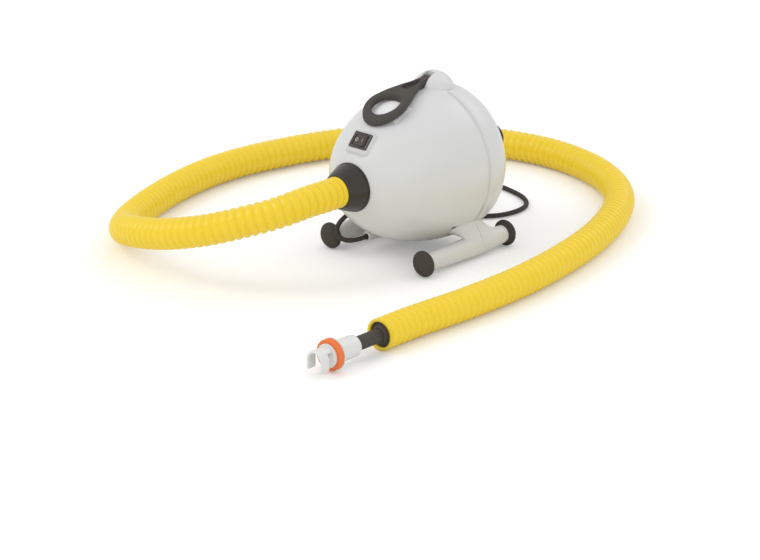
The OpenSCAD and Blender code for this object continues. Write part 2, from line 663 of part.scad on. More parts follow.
module armature_core() color("#7a7f85") at_station(core_rear) difference() {
  cylinder(r = armature_r, h = core_front - core_rear);
  translate([0, 0, -1]) cylinder(r = shaft_r, h = 60);
  for (i = [0 : slot_count - 1]) rotate([0, 0, 360 * i / slot_count])
    translate([13, -1.5, -1]) cube([20, 3, 60]);
}
module armature_windings() color("#b4622c") {
  for (s = [10, core_front]) at_station(s)
    ring(armature_r - 2.5, shaft_r + 2, s < core_front ? core_rear - 10 : 7);
  for (i = [0 : slot_count - 1]) at_station(core_rear - 1) rotate([0, 0, 360 * i / slot_count])
    translate([13.2, -1.4, 0]) cube([armature_r - 14.5, 2.8, core_front - core_rear + 2]);
}
module commutator() color("#c07a3c") at_station(commutator_rear - 1.9) difference() {
  cylinder(r = commutator_r, h = commutator_len + 1.9);
  translate([0, 0, -1]) cylinder(r = shaft_r, h = 30);
  for (i = [0 : 11]) rotate([0, 0, 30 * i]) translate([commutator_r - 0.7, -0.3, 3]) cube([2, 0.6, 30]);
}
fan_hub_r = 8;
module impeller() color("#d0d3d6") {
  at_station(-19) ring(impeller_r, shaft_r, 1.2);
  at_station(-32) ring(impeller_r, eye_r - 1, 1.2);
  at_station(-30.8 - eps) for (a = [0 : 40 : 320]) rotate([0, 0, a]) translate([eye_r + 2, 0, 0])
    rotate([0, 0, -38]) cube([40, 1.2, 11.8 + 2 * eps]);
  at_station(-30.8) ring(fan_hub_r, shaft_r, 14.5);
}
module impeller_nut() color("#8c9095") at_station(-34.4) difference() {
  cylinder(r = 7, h = 3.6, $fn = 6);
  translate([0, 0, -1]) cylinder(r = shaft_r, h = 6);
}

// ---- Air hose and its adapter ----
// The route starts at the collar's bell, runs down to the floor on the left, passes
// behind the housing and ends in front on the right; each row is x, y, z
hose_route = [[0, -145, 114.5], [0, -165, 114.5], [-3, -192, 114], [-14, -232, 108], [-43, -265, 97],
  [-80, -288, 84], [-122, -301, 72], [-165, -303, 61], [-209, -295, 51], [-247, -277, 40], [-280, -248, 29],
  [-306, -215, 23], [-327, -173, 21], [-342, -131, 21], [-354, -89, 21], [-363, -45, 21], [-368, 1, 21],
  [-367, 48, 21], [-360, 94, 21], [-349, 137, 21], [-334, 182, 21], [-312, 228, 21], [-281, 273, 21],
  [-240, 313, 21], [-188, 345, 21], [-131, 365, 21], [-80, 372, 21], [-30, 368, 21], [24, 352, 21],
  [72, 325, 21], [113, 287, 21], [146, 238, 21], [171, 185, 21], [190, 130, 21], [204, 72, 21],
  [214, 12, 21], [220, -52, 21], [221, -115, 21], [218, -180, 21], [213.5, -235, 21], [212.5, -270, 21]];
hose_end = [212.5, -293, 21];
module hose() color("#f6cf1c") swept_tube(concat(hose_route, [hose_end]), hose_r, 12);
// The free end's fittings lie in line, pointing to -Y from the hose's end
module past_hose(d) translate(hose_end - [0, d, 0]) rotate([90, 0, 0]) children();
tube_len = 54;
module hose_cuff() color("#26221f") past_hose(0) ring(hose_r - 2.2, nozzle_tube_r, 3);
module nozzle_tube() color("#2c2926") past_hose(0) ring(nozzle_tube_r, nozzle_tube_r - 2, tube_len + 20);
adapter_at = 52;
flange_at = 88.4;
bayonet_len = 22;
module valve_adapter() color("#dcdcd4") difference() {
  union() {
    past_hose(adapter_at) cylinder(r = sleeve_r, h = flange_at - adapter_at);
    past_hose(flange_at) cylinder(r = washer_r + 0.4, h = 1.6);
    past_hose(flange_at + 1.6) cylinder(r = sleeve_r + 0.6, h = washer_t + 3);
    past_hose(flange_at + 4 + washer_t) cylinder(r = bayonet_r, h = bayonet_len);
  }
  past_hose(adapter_at - 1) cylinder(r = nozzle_tube_r, h = 23);
  past_hose(adapter_at) cylinder(r = nozzle_tube_r - 1, h = 100);
  // mouth under the prongs and the two bayonet slots beside them
  past_hose(flange_at + 9 + washer_t) translate([-6.5, -20, 0]) cube([13, 20, 40]);
  past_hose(flange_at + 5.5 + washer_t) for (side = [-1, 1])
    translate([side > 0 ? bayonet_r - 6 : -bayonet_r - 4, -4, 0]) cube([10, 9, 7]);
}
module adapter_washer() color("#f0642c") past_hose(flange_at + 1.6) ring(washer_r, sleeve_r + 0.6, washer_t);

// ---- Mains lead, coil and plug ----
lead_route = [at(duct_x, 80, 20), at(duct_x, 85, 20), at(-39.5, 98, 20), at(-44.5, 108, 20),
  at(-52, 114, 22.5), at(-59, 115, 29), at(-63, 109, 36), at(-66, 97, 41), at(-71, 82, 42),
  at(-84, 60, 37.5), at(-93, 44, 32), at(-100, 28, 22), at(-104, 10, 10.5), at(-107, -12, 4.2),
  at(-112, -45, 3.4), at(-126, -84, 3.4), at(-144, -122, 3.4), at(-150, -162, 3.4), at(-138, -200, 3.4),
  at(-110, -221, 3.4), at(-76, -224, 3.4), at(-42, -218, 3.4), at(-12, -206, 3.4), at(8, -184, 3.4),
  at(12, -156, 3.4), at(2, -127, 3.4), at(-22, -108, 3.4), at(-54, -101, 3.4), at(-88, -101.2, 3.4)];
coil_centre = at(-88, -147, 0);
module mains_lead() color("#34302c") swept_tube(lead_route, lead_r, 8);
module lead_coil() color("#34302c") translate(coil_centre) rotate_extrude($fn = 96)
  translate([coil_r - 2 * lead_r, 0]) square([4 * lead_r, coil_h]);
plug_len = 36;
module on_coil() translate(coil_centre + [-12, 0, coil_h + plug_r]) rotate([0, -90, 0]) children();
module plug_body() color("#34302c") on_coil() rotate_extrude() polygon([[0, -22], [4.2, -22], [5, 0],
  [9, 2], [14, 4], [plug_r - 1, 9], [plug_r, 12], [plug_r, plug_len - 1.5],
  [plug_r - 1.5, plug_len], [0, plug_len]]);
module plug_pins() color("#c9ccd0") on_coil() for (side = [-1, 1]) translate([0, side * 9.5, plug_len]) {
  cylinder(r = 2.4, h = 18);
  translate([0, 0, 18]) cylinder(r1 = 2.4, r2 = 1.4, h = 1);
}

module foot_cap_front_left() color("#37312c") front_foot(-1);
module foot_cap_front_right() color("#37312c") front_foot(1);
module foot_cap_rear_left() color("#37312c") rear_foot(-1);
module foot_cap_rear_right() color("#37312c") rear_foot(1);

front_shell();
rear_shell();
front_port_collar();
rear_port_collar();
intake_guard();
intake_filter();
carry_handle();
foot_cap_front_left();
foot_cap_front_right();
foot_cap_rear_left();
foot_cap_rear_right();
shell_screws();
switch_body();
switch_rocker();
switch_terminals();
data_label();
cord_gland();
inner_lead();
terminal_block();
capacitor();
switch_leads();
motor_leads();
rear_mount_ring();
front_mount_ring();
fan_case();
guide_vane_plate();
motor_rear_bracket();
motor_front_bracket();
motor_screws();
stator_core();
field_coils();
brush_holders();
carbon_brushes();
brush_springs();
front_bearing();
rear_bearing();
rotor_shaft();
armature_core();
armature_windings();
commutator();
impeller();
impeller_nut();
mains_lead();
lead_coil();
plug_body();
plug_pins();
hose();
hose_cuff();
nozzle_tube();
valve_adapter();
adapter_washer();
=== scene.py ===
"""Looks of a mains air inflator: an egg-shaped housing on skids, its hose, adapter and lead."""

from __future__ import annotations

import logging
import math
from dataclasses import dataclass
from enum import Enum

import bmesh
import bpy
import numpy as np
from mathutils import Matrix

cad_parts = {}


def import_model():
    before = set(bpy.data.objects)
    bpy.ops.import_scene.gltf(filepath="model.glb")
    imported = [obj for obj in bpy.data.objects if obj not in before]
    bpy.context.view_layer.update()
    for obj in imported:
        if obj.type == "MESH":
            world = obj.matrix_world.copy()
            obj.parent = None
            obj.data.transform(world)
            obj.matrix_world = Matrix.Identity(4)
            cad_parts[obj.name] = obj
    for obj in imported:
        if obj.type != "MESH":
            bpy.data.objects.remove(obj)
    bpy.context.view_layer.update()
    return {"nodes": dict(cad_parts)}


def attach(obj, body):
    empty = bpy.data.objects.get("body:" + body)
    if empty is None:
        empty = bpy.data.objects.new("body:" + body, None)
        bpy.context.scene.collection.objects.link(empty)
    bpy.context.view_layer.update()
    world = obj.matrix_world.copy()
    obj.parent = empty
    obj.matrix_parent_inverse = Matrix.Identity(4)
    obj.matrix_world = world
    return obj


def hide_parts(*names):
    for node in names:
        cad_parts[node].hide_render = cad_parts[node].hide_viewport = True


log = logging.getLogger("inflator")
MM = 0.001
SEAM_Y = 0.034
AXIS_Z = 0.1145


# ---------------------------------------------------------------- curves and meshes
def spline(points: np.ndarray, step: float) -> np.ndarray:
    """Carries a natural cubic spline through points and samples it evenly.

    The second derivatives at the points solve the usual tridiagonal system over chord length.

    Args:
        points: Rows of x, y, z.
        step: Distance between samples.

    Returns:
        Samples about step apart, the first and last on the end points.
    """
    p = np.asarray(points, float)
    h = np.linalg.norm(np.diff(p, axis=0), axis=1)
    t = np.concatenate([[0], np.cumsum(h)])
    n = len(p)
    a = np.eye(n)
    i = np.arange(1, n - 1)
    a[i, i - 1], a[i, i], a[i, i + 1] = h[:-1], 2 * (h[:-1] + h[1:]), h[1:]
    rhs = np.zeros_like(p)
    rhs[1:-1] = 6 * (np.diff(p[1:], axis=0) / h[1:, None] - np.diff(p[:-1], axis=0) / h[:-1, None])
    m = np.linalg.solve(a, rhs)

    def at(u: np.ndarray) -> np.ndarray:
        """Spline points at chord lengths u."""
        k = np.clip(np.searchsorted(t, u, side="right") - 1, 0, n - 2)
        w, v, hk = (u - t[k])[:, None], (t[k + 1] - u)[:, None], h[k][:, None]
        return (m[k] * v**3 + m[k + 1] * w**3) / (6 * hk) + (p[k] / hk - m[k] * hk / 6) * v + (
            p[k + 1] / hk - m[k + 1] * hk / 6
        ) * w

    fine = at(np.linspace(0, t[-1], 60 * n))
    s = np.concatenate([[0], np.cumsum(np.linalg.norm(np.diff(fine, axis=0), axis=1))])
    even = np.linspace(0, s[-1], max(2, int(round(s[-1] / step)) + 1))
    return np.stack([np.interp(even, s, fine[:, k]) for k in range(3)], -1)


def run_length(path: np.ndarray) -> np.ndarray:
    """Distance along a path at each of its points."""
    return np.concatenate([[0], np.cumsum(np.linalg.norm(np.diff(path, axis=0), axis=1))])


def carried_frames(path: np.ndarray) -> tuple[np.ndarray, np.ndarray]:
    """Two unit vectors across a path, carried along it without twist.

    Args:
        path: Points along the path.

    Returns:
        The side and up vectors at each point.
    """
    t = np.gradient(path, axis=0)
    t /= np.linalg.norm(t, axis=1)[:, None]
    side = np.zeros_like(t)
    first = np.cross(t[0], [0.02, 0.01, 1.0])
    side[0] = first / np.linalg.norm(first)
    for i in range(1, len(t)):
        v = side[i - 1] - t[i] * (side[i - 1] @ t[i])
        side[i] = v / np.linalg.norm(v)
    return side, np.cross(side, t)


def grid_mesh(name: str, grid: np.ndarray, wrap_u: bool = False, wrap_v: bool = False) -> bpy.types.Object:
    """Makes one smooth mesh from a grid of points, with a UV map of its two parameters.

    Args:
        name: Name of the object.
        grid: Array of rows x columns x 3, in metres.
        wrap_u: Whether the last row joins the first.
        wrap_v: Whether the last column joins the first.

    Returns:
        The new object, at the origin.
    """
    nu, nv = grid.shape[:2]
    ids = np.arange(nu * nv).reshape(nu, nv)
    iu = np.arange(nu if wrap_u else nu - 1)
    iv = np.arange(nv if wrap_v else nv - 1)
    a, b = np.meshgrid(iu, iv, indexing="ij")
    a2, b2 = (a + 1) % nu, (b + 1) % nv
    faces = np.stack([ids[a, b], ids[a2, b], ids[a2, b2], ids[a, b2]], -1).reshape(-1, 4)
    mesh = bpy.data.meshes.new(name)
    mesh.vertices.add(nu * nv)
    mesh.vertices.foreach_set("co", grid.reshape(-1).astype(np.float32))
    mesh.loops.add(faces.size)
    mesh.loops.foreach_set("vertex_index", faces.reshape(-1).astype(np.int32))
    mesh.polygons.add(len(faces))
    mesh.polygons.foreach_set("loop_start", np.arange(0, faces.size, 4, dtype=np.int32))
    mesh.polygons.foreach_set("loop_total", np.full(len(faces), 4, np.int32))
    mesh.polygons.foreach_set("use_smooth", np.ones(len(faces), bool))
    uv = mesh.uv_layers.new(name="along")
    u = np.stack([a, a + 1, a + 1, a], -1).reshape(-1) / max(nu - 1, 1)
    v = np.stack([b, b, b + 1, b + 1], -1).reshape(-1) / max(nv, 1)
    uv.data.foreach_set("uv", np.stack([u, v], -1).reshape(-1).astype(np.float32))
    mesh.update(calc_edges=True)
    mesh.validate()
    return placed(name, mesh)


def placed(name: str, mesh: bpy.types.Mesh) -> bpy.types.Object:
    """Links a mesh as an object at the origin."""
    obj = bpy.data.objects.new(name, mesh)
    bpy.context.scene.collection.objects.link(obj)
    return obj


def tidied(obj: bpy.types.Object, merge: float = 1e-6) -> bpy.types.Object:
    """Merges doubles and turns all faces outwards.

    Args:
        obj: A closed mesh object.
        merge: Distance within which points are merged.

    Returns:
        The same object.
    """
    bm = bmesh.new()
    bm.from_mesh(obj.data)
    bmesh.ops.remove_doubles(bm, verts=bm.verts, dist=merge)
    bmesh.ops.dissolve_degenerate(bm, edges=bm.edges, dist=1e-7)
    bmesh.ops.recalc_face_normals(bm, faces=bm.faces)
    bm.to_mesh(obj.data)
    bm.free()
    return obj


def joined(name: str, parts: list[bpy.types.Object]) -> bpy.types.Object:
    """Joins several meshes into one piece.

    Args:
        name: Name of the joined object.
        parts: Objects at the origin, which are used up.

    Returns:
        The joined object.
    """
    bm = bmesh.new()
    for part in parts:
        bm.from_mesh(part.data)
        bpy.data.objects.remove(part)
    mesh = bpy.data.meshes.new(name)
    bm.to_mesh(mesh)
    bm.free()
    return placed(name, mesh)


def rounded_profile(rows: list[tuple[float, float]], radius: float, parts: int = 4) -> np.ndarray:
    """Rounds the corners of a profile with short quadratic arcs.

    Each corner is replaced by a quadratic Bezier between points set back along its two sides.

    Args:
        rows: Profile corners as radius and height.
        radius: Set-back distance, cut to a third of the shorter side.
        parts: Segments per corner.

    Returns:
        The rounded profile.
    """
    p = np.asarray(rows, float)
    before, corner, after = p[:-2], p[1:-1], p[2:]
    la = np.linalg.norm(before - corner, axis=1)[:, None]
    lb = np.linalg.norm(after - corner, axis=1)[:, None]
    back = np.minimum(radius, np.minimum(la, lb) / 3)
    start, end = corner + (before - corner) / la * back, corner + (after - corner) / lb * back
    t = np.linspace(0, 1, parts + 1)[None, :, None]
    arcs = (1 - t) ** 2 * start[:, None] + 2 * t * (1 - t) * corner[:, None] + t**2 * end[:, None]
    return np.concatenate([p[:1], arcs.reshape(-1, 2), p[-1:]])


def turned(name: str, profile: np.ndarray, place: Matrix, sides: int = 96, closed: bool = False) -> bpy.types.Object:
    """Turns a profile about the local z axis: x = r cos a, y = r sin a, z = height.

    Args:
        name: Name of the object.
        profile: Rows of radius and height, in metres.
        place: Where the local axes stand.
        sides: Steps around.
        closed: Whether the profile is a closed loop.

    Returns:
        A closed mesh object.
    """
    ang = np.linspace(0, 2 * math.pi, sides, endpoint=False)
    r, z = profile[:, 0][:, None], profile[:, 1][:, None]
    grid = np.stack([r * np.cos(ang), r * np.sin(ang), np.broadcast_to(z, (len(profile), sides))], -1)
    m = np.array(place)
    grid = grid @ m[:3, :3].T + m[:3, 3]
    return tidied(grid_mesh(name, grid, wrap_u=closed, wrap_v=True))


def axes(origin: tuple[float, float, float], z_axis: tuple[float, float, float], x_axis: tuple[float, float, float]) -> Matrix:
    """Matrix whose z and x axes point the given ways from an origin."""
    z, x = np.array(z_axis, float), np.array(x_axis, float)
    z /= np.linalg.norm(z)
    x = x - z * (x @ z)
    x /= np.linalg.norm(x)
    y = np.cross(z, x)
    m = np.eye(4)
    m[:3, 0], m[:3, 1], m[:3, 2], m[:3, 3] = x, y, z, origin
    return Matrix(m.tolist())


def smooth_by_angle(obj: bpy.types.Object, degrees: float) -> None:
    """Shades a mesh smooth apart from edges sharper than an angle."""
    obj.data.shade_smooth()
    obj.data.set_sharp_from_angle(angle=math.radians(degrees))


# ---------------------------------------------------------------- finishes
class Nodes:
    """Short calls for building one node tree."""

    def __init__(self, tree: bpy.types.NodeTree) -> None:
        """Keeps the tree."""
        self.tree = tree

    def add(self, kind: str, **values: object) -> bpy.types.Node:
        """Adds a node and sets its properties and inputs.

        Args:
            kind: Node type.
            values: Properties, or inputs with spaces as underscores.

        Returns:
            The node.
        """
        node = self.tree.nodes.new(kind)
        for key, value in values.items():
            if hasattr(node, key):
                setattr(node, key, value)
            else:
                node.inputs[key.replace("_", " ")].default_value = value
        return node

    def link(self, a: bpy.types.NodeSocket, b: bpy.types.NodeSocket) -> None:
        """Links two sockets."""
        self.tree.links.new(a, b)

    def math(self, op: str, a: object, b: object = 0.0, clamp: bool = False) -> bpy.types.NodeSocket:
        """One Math node.

        Args:
            op: Its operation.
            a: Socket or number.
            b: Socket or number.
            clamp: Whether the result is kept within 0 and 1.

        Returns:
            Its output.
        """
        node = self.tree.nodes.new("ShaderNodeMath")
        node.operation = op
        node.use_clamp = clamp
        for i, v in enumerate((a, b)):
            if isinstance(v, bpy.types.NodeSocket):
                self.link(v, node.inputs[i])
            else:
                node.inputs[i].default_value = float(v)
        return node.outputs[0]

    def ramp(self, fac: bpy.types.NodeSocket, low: float, high: float) -> bpy.types.NodeSocket:
        """Maps a value from low..high to 0..1, clamped and eased."""
        node = self.tree.nodes.new("ShaderNodeMapRange")
        node.interpolation_type = "SMOOTHSTEP"
        node.inputs["From Min"].default_value = low
        node.inputs["From Max"].default_value = high
        self.link(fac, node.inputs["Value"])
        return node.outputs["Result"]

    def mix(self, fac: object, a: object, b: object) -> bpy.types.NodeSocket:
        """Mixes two colours.

        Args:
            fac: Socket or number.
            a: Socket or colour at 0.
            b: Socket or colour at 1.

        Returns:
            The mixed colour.
        """
        node = self.tree.nodes.new("ShaderNodeMix")
        node.data_type = "RGBA"
        for i, v in ((0, fac), (6, a), (7, b)):
            if isinstance(v, bpy.types.NodeSocket):
                self.link(v, node.inputs[i])
            else:
                node.inputs[i].default_value = v if i == 0 else (*v[:3], 1.0)
        return node.outputs[2]


def group(name: str, inputs: dict[str, float | tuple], outputs: dict[str, str]) -> tuple[bpy.types.NodeTree, Nodes, bpy.types.Node, bpy.types.Node]:
    """Starts a shader node group.

    Args:
        name: Its name.
        inputs: Input names and default values; a tuple makes a colour.
        outputs: Output names and socket types.

    Returns:
        The tree, its builder, and its input and output nodes.
    """
    tree = bpy.data.node_groups.new(name, "ShaderNodeTree")
    for key, value in inputs.items():
        kind = "NodeSocketColor" if isinstance(value, tuple) else "NodeSocketFloat"
        sock = tree.interface.new_socket(name=key, in_out="INPUT", socket_type=kind)
        sock.default_value = (*value[:3], 1.0) if isinstance(value, tuple) else value
    for key, kind in outputs.items():
        tree.interface.new_socket(name=key, in_out="OUTPUT", socket_type=kind)
    nodes = Nodes(tree)
    return tree, nodes, nodes.add("NodeGroupInput"), nodes.add("NodeGroupOutput")


def moulded_surface() -> bpy.types.NodeTree:
    """Group for moulded plastic: slow tone drift, fine grain height, and uneven gloss.

    Returns:
        The group, with outputs Color, Roughness and Height.
    """
    tree, n, gi, go = group(
        "moulded_surface",
        {"Tone": (0.5, 0.5, 0.5), "Drift": 0.05, "Gloss": 0.4, "Gloss Drift": 0.06, "Grain Size": 900.0, "Dust": 0.1},
        {"Color": "NodeSocketColor", "Roughness": "NodeSocketFloat", "Height": "NodeSocketFloat"},
    )
    at = n.add("ShaderNodeTexCoord").outputs["Object"]
    slow = n.add("ShaderNodeTexNoise", Scale=9.0, Detail=3.0)
    n.link(at, slow.inputs["Vector"])
    fine = n.add("ShaderNodeTexNoise", Detail=2.0, Roughness=0.6)
    n.link(at, fine.inputs["Vector"])
    n.link(gi.outputs["Grain Size"], fine.inputs["Scale"])
    mid = n.add("ShaderNodeTexNoise", Scale=55.0, Detail=4.0, Roughness=0.65)
    n.link(at, mid.inputs["Vector"])
    shift = n.math("MULTIPLY", n.math("SUBTRACT", slow.outputs["Fac"], 0.5), gi.outputs["Drift"])
    scale = n.math("ADD", 1.0, n.math("MULTIPLY", shift, 2.0))
    toned = n.add("ShaderNodeVectorMath", operation="SCALE")
    n.link(gi.outputs["Tone"], toned.inputs[0])
    n.link(scale, toned.inputs["Scale"])
    dust = n.math("MULTIPLY", n.ramp(mid.outputs["Fac"], 0.52, 0.75), gi.outputs["Dust"])
    n.link(n.mix(dust, toned.outputs[0], (0.5, 0.47, 0.42)), go.inputs["Color"])
    rough = n.math("ADD", gi.outputs["Gloss"], n.math("MULTIPLY", n.math("SUBTRACT", mid.outputs["Fac"], 0.5), gi.outputs["Gloss Drift"]))
    n.link(rough, go.inputs["Roughness"])
    n.link(fine.outputs["Fac"], go.inputs["Height"])
    return tree


def worked_metal() -> bpy.types.NodeTree:
    """Group for machined or pressed metal: fine scratches in one direction and faint staining.

    Returns:
        The group, with outputs Color, Roughness and Height.
    """
    tree, n, gi, go = group(
        "worked_metal",
        {"Tone": (0.6, 0.6, 0.6), "Stain": 0.15, "Gloss": 0.35, "Scratch": 0.12},
        {"Color": "NodeSocketColor", "Roughness": "NodeSocketFloat", "Height": "NodeSocketFloat"},
    )
    at = n.add("ShaderNodeTexCoord").outputs["Object"]
    stretch = n.add("ShaderNodeMapping", Scale=(900.0, 40.0, 900.0))
    n.link(at, stretch.inputs["Vector"])
    lines = n.add("ShaderNodeTexNoise", Scale=1.0, Detail=3.0)
    n.link(stretch.outputs[0], lines.inputs["Vector"])
    blot = n.add("ShaderNodeTexNoise", Scale=70.0, Detail=4.0, Roughness=0.6)
    n.link(at, blot.inputs["Vector"])
    stain = n.math("MULTIPLY", n.ramp(blot.outputs["Fac"], 0.45, 0.75), gi.outputs["Stain"])
    dark = n.add("ShaderNodeVectorMath", operation="SCALE", Scale=0.55)
    n.link(gi.outputs["Tone"], dark.inputs[0])
    n.link(n.mix(stain, gi.outputs["Tone"], dark.outputs[0]), go.inputs["Color"])
    n.link(n.math("ADD", gi.outputs["Gloss"], n.math("MULTIPLY", lines.outputs["Fac"], gi.outputs["Scratch"])), go.inputs["Roughness"])
    n.link(lines.outputs["Fac"], go.inputs["Height"])
    return tree


class Groups:
    """The shared node groups, built once each."""

    made: dict[str, bpy.types.NodeTree] = {}

    @classmethod
    def get(cls, name: str) -> bpy.types.NodeTree:
        """Returns a group by name, building it the first time."""
        if name not in cls.made:
            cls.made[name] = {"moulded_surface": moulded_surface, "worked_metal": worked_metal}[name]()
        return cls.made[name]


@dataclass(frozen=True)
class Moulded:
    """A moulded plastic or rubber finish.

    Colours are linear. Grain is the bump height in millimetres, and grain_size its noise scale per metre.
    """

    name: str
    tone: tuple[float, float, float]
    gloss: float = 0.4
    gloss_drift: float = 0.08
    drift: float = 0.05
    grain: float = 0.02
    grain_size: float = 900.0
    dust: float = 0.06
    coat: float = 0.0
    sheen: float = 0.0
    specular: float = 0.5
    # seam paints shade into the groove along the shells' seam
    seam: bool = False

    def build(self) -> bpy.types.Material:
        """Builds the material.

        Returns:
            The material, with its Principled shader in the material itself.
        """
        mat = bpy.data.materials.new(self.name)
        mat.use_nodes = True
        tree = mat.node_tree
        bsdf = tree.nodes["Principled BSDF"]
        n = Nodes(tree)
        g = n.add("ShaderNodeGroup", node_tree=Groups.get("moulded_surface"))
        for key, value in (
            ("Tone", (*self.tone, 1.0)), ("Drift", self.drift), ("Gloss", self.gloss),
            ("Gloss Drift", self.gloss_drift), ("Grain Size", self.grain_size), ("Dust", self.dust),
        ):
            g.inputs[key].default_value = value
        colour = g.outputs["Color"]
        if self.seam:
            # painted shade in the seam's groove: a mask of the distance from the seam's plane darkens the colour there
            split = n.add("ShaderNodeSeparateXYZ")
            n.link(n.add("ShaderNodeTexCoord").outputs["Object"], split.inputs[0])
            off = n.math("ABSOLUTE", n.math("SUBTRACT", split.outputs["Y"], SEAM_Y))
            colour = n.mix(n.math("MULTIPLY", n.ramp(off, 0.85 * MM, 0.4 * MM), 0.85), colour, (0.06, 0.058, 0.055))
        n.link(colour, bsdf.inputs["Base Color"])
        n.link(g.outputs["Roughness"], bsdf.inputs["Roughness"])
        bump = n.add("ShaderNodeBump", Strength=1.0, Distance=self.grain * MM)
        n.link(g.outputs["Height"], bump.inputs["Height"])
        n.link(bump.outputs["Normal"], bsdf.inputs["Normal"])
        bsdf.inputs["Coat Weight"].default_value = self.coat
        bsdf.inputs["Coat Roughness"].default_value = 0.2
        bsdf.inputs["Sheen Weight"].default_value = self.sheen
        bsdf.inputs["Specular IOR Level"].default_value = self.specular
        mat.diffuse_color = (*self.tone, 1.0)
        return mat


@dataclass(frozen=True)
class Metal:
    """A bare metal finish with fine working marks. The tone is linear."""

    name: str
    tone: tuple[float, float, float]
    gloss: float = 0.32
    scratch: float = 0.14
    stain: float = 0.2
    metallic: float = 1.0
    mark: float = 0.01

    def build(self) -> bpy.types.Material:
        """Builds the material.

        Returns:
            The material.
        """
        mat = bpy.data.materials.new(self.name)
        mat.use_nodes = True
        bsdf = mat.node_tree.nodes["Principled BSDF"]
        n = Nodes(mat.node_tree)
        g = n.add("ShaderNodeGroup", node_tree=Groups.get("worked_metal"))
        for key, value in (("Tone", (*self.tone, 1.0)), ("Stain", self.stain), ("Gloss", self.gloss), ("Scratch", self.scratch)):
            g.inputs[key].default_value = value
        n.link(g.outputs["Color"], bsdf.inputs["Base Color"])
        n.link(g.outputs["Roughness"], bsdf.inputs["Roughness"])
        bump = n.add("ShaderNodeBump", Strength=1.0, Distance=self.mark * MM)
        n.link(g.outputs["Height"], bump.inputs["Height"])
        n.link(bump.outputs["Normal"], bsdf.inputs["Normal"])
        bsdf.inputs["Metallic"].default_value = self.metallic
        mat.diffuse_color = (*self.tone, 1.0)
        return mat


@dataclass(frozen=True)
class HosePlastic:
    """Bright translucent hose plastic, with painted shade: a deeper orange in its grooves.

    The piece's own groove attribute is 0 on the ribs and 1 in the grooves.
    """

    name: str = "hose_yellow"
    rib: tuple[float, float, float] = (1.0, 0.80, 0.045)
    # groove: the painted shade colour of the grooves
    groove: tuple[float, float, float] = (0.98, 0.58, 0.006)

    def build(self) -> bpy.types.Material:
        """Builds the material.

        Returns:
            The material.
        """
        mat = bpy.data.materials.new(self.name)
        mat.use_nodes = True
        bsdf = mat.node_tree.nodes["Principled BSDF"]
        n = Nodes(mat.node_tree)
        deep = n.add("ShaderNodeAttribute", attribute_name="groove").outputs["Fac"]
        at = n.add("ShaderNodeTexCoord").outputs["Object"]
        cloud = n.add("ShaderNodeTexNoise", Scale=24.0, Detail=4.0, Roughness=0.6)
        n.link(at, cloud.inputs["Vector"])
        fine = n.add("ShaderNodeTexNoise", Scale=420.0, Detail=3.0)
        n.link(at, fine.inputs["Vector"])
        # painted shade: the grooves mix towards the deeper orange
        depth = n.math("MULTIPLY", deep, n.math("ADD", 0.55, n.math("MULTIPLY", cloud.outputs["Fac"], 0.6)), clamp=True)
        colour = n.mix(depth, self.rib, self.groove)
        pale = n.math("MULTIPLY", n.ramp(cloud.outputs["Fac"], 0.5, 0.72), 0.25)
        n.link(n.mix(pale, colour, (1.0, 0.88, 0.17)), bsdf.inputs["Base Color"])
        n.link(n.math("ADD", 0.26, n.math("MULTIPLY", fine.outputs["Fac"], 0.12)), bsdf.inputs["Roughness"])
        bump = n.add("ShaderNodeBump", Strength=1.0, Distance=0.00006)
        n.link(fine.outputs["Fac"], bump.inputs["Height"])
        n.link(bump.outputs["Normal"], bsdf.inputs["Normal"])
        bsdf.inputs["Subsurface Weight"].default_value = 0.15
        bsdf.inputs["Subsurface Radius"].default_value = (0.02, 0.012, 0.002)
        bsdf.inputs["Subsurface Scale"].default_value = 0.5
        bsdf.inputs["Coat Weight"].default_value = 0.25
        bsdf.inputs["Coat Roughness"].default_value = 0.16
        mat.diffuse_color = (*self.rib, 1.0)
        return mat


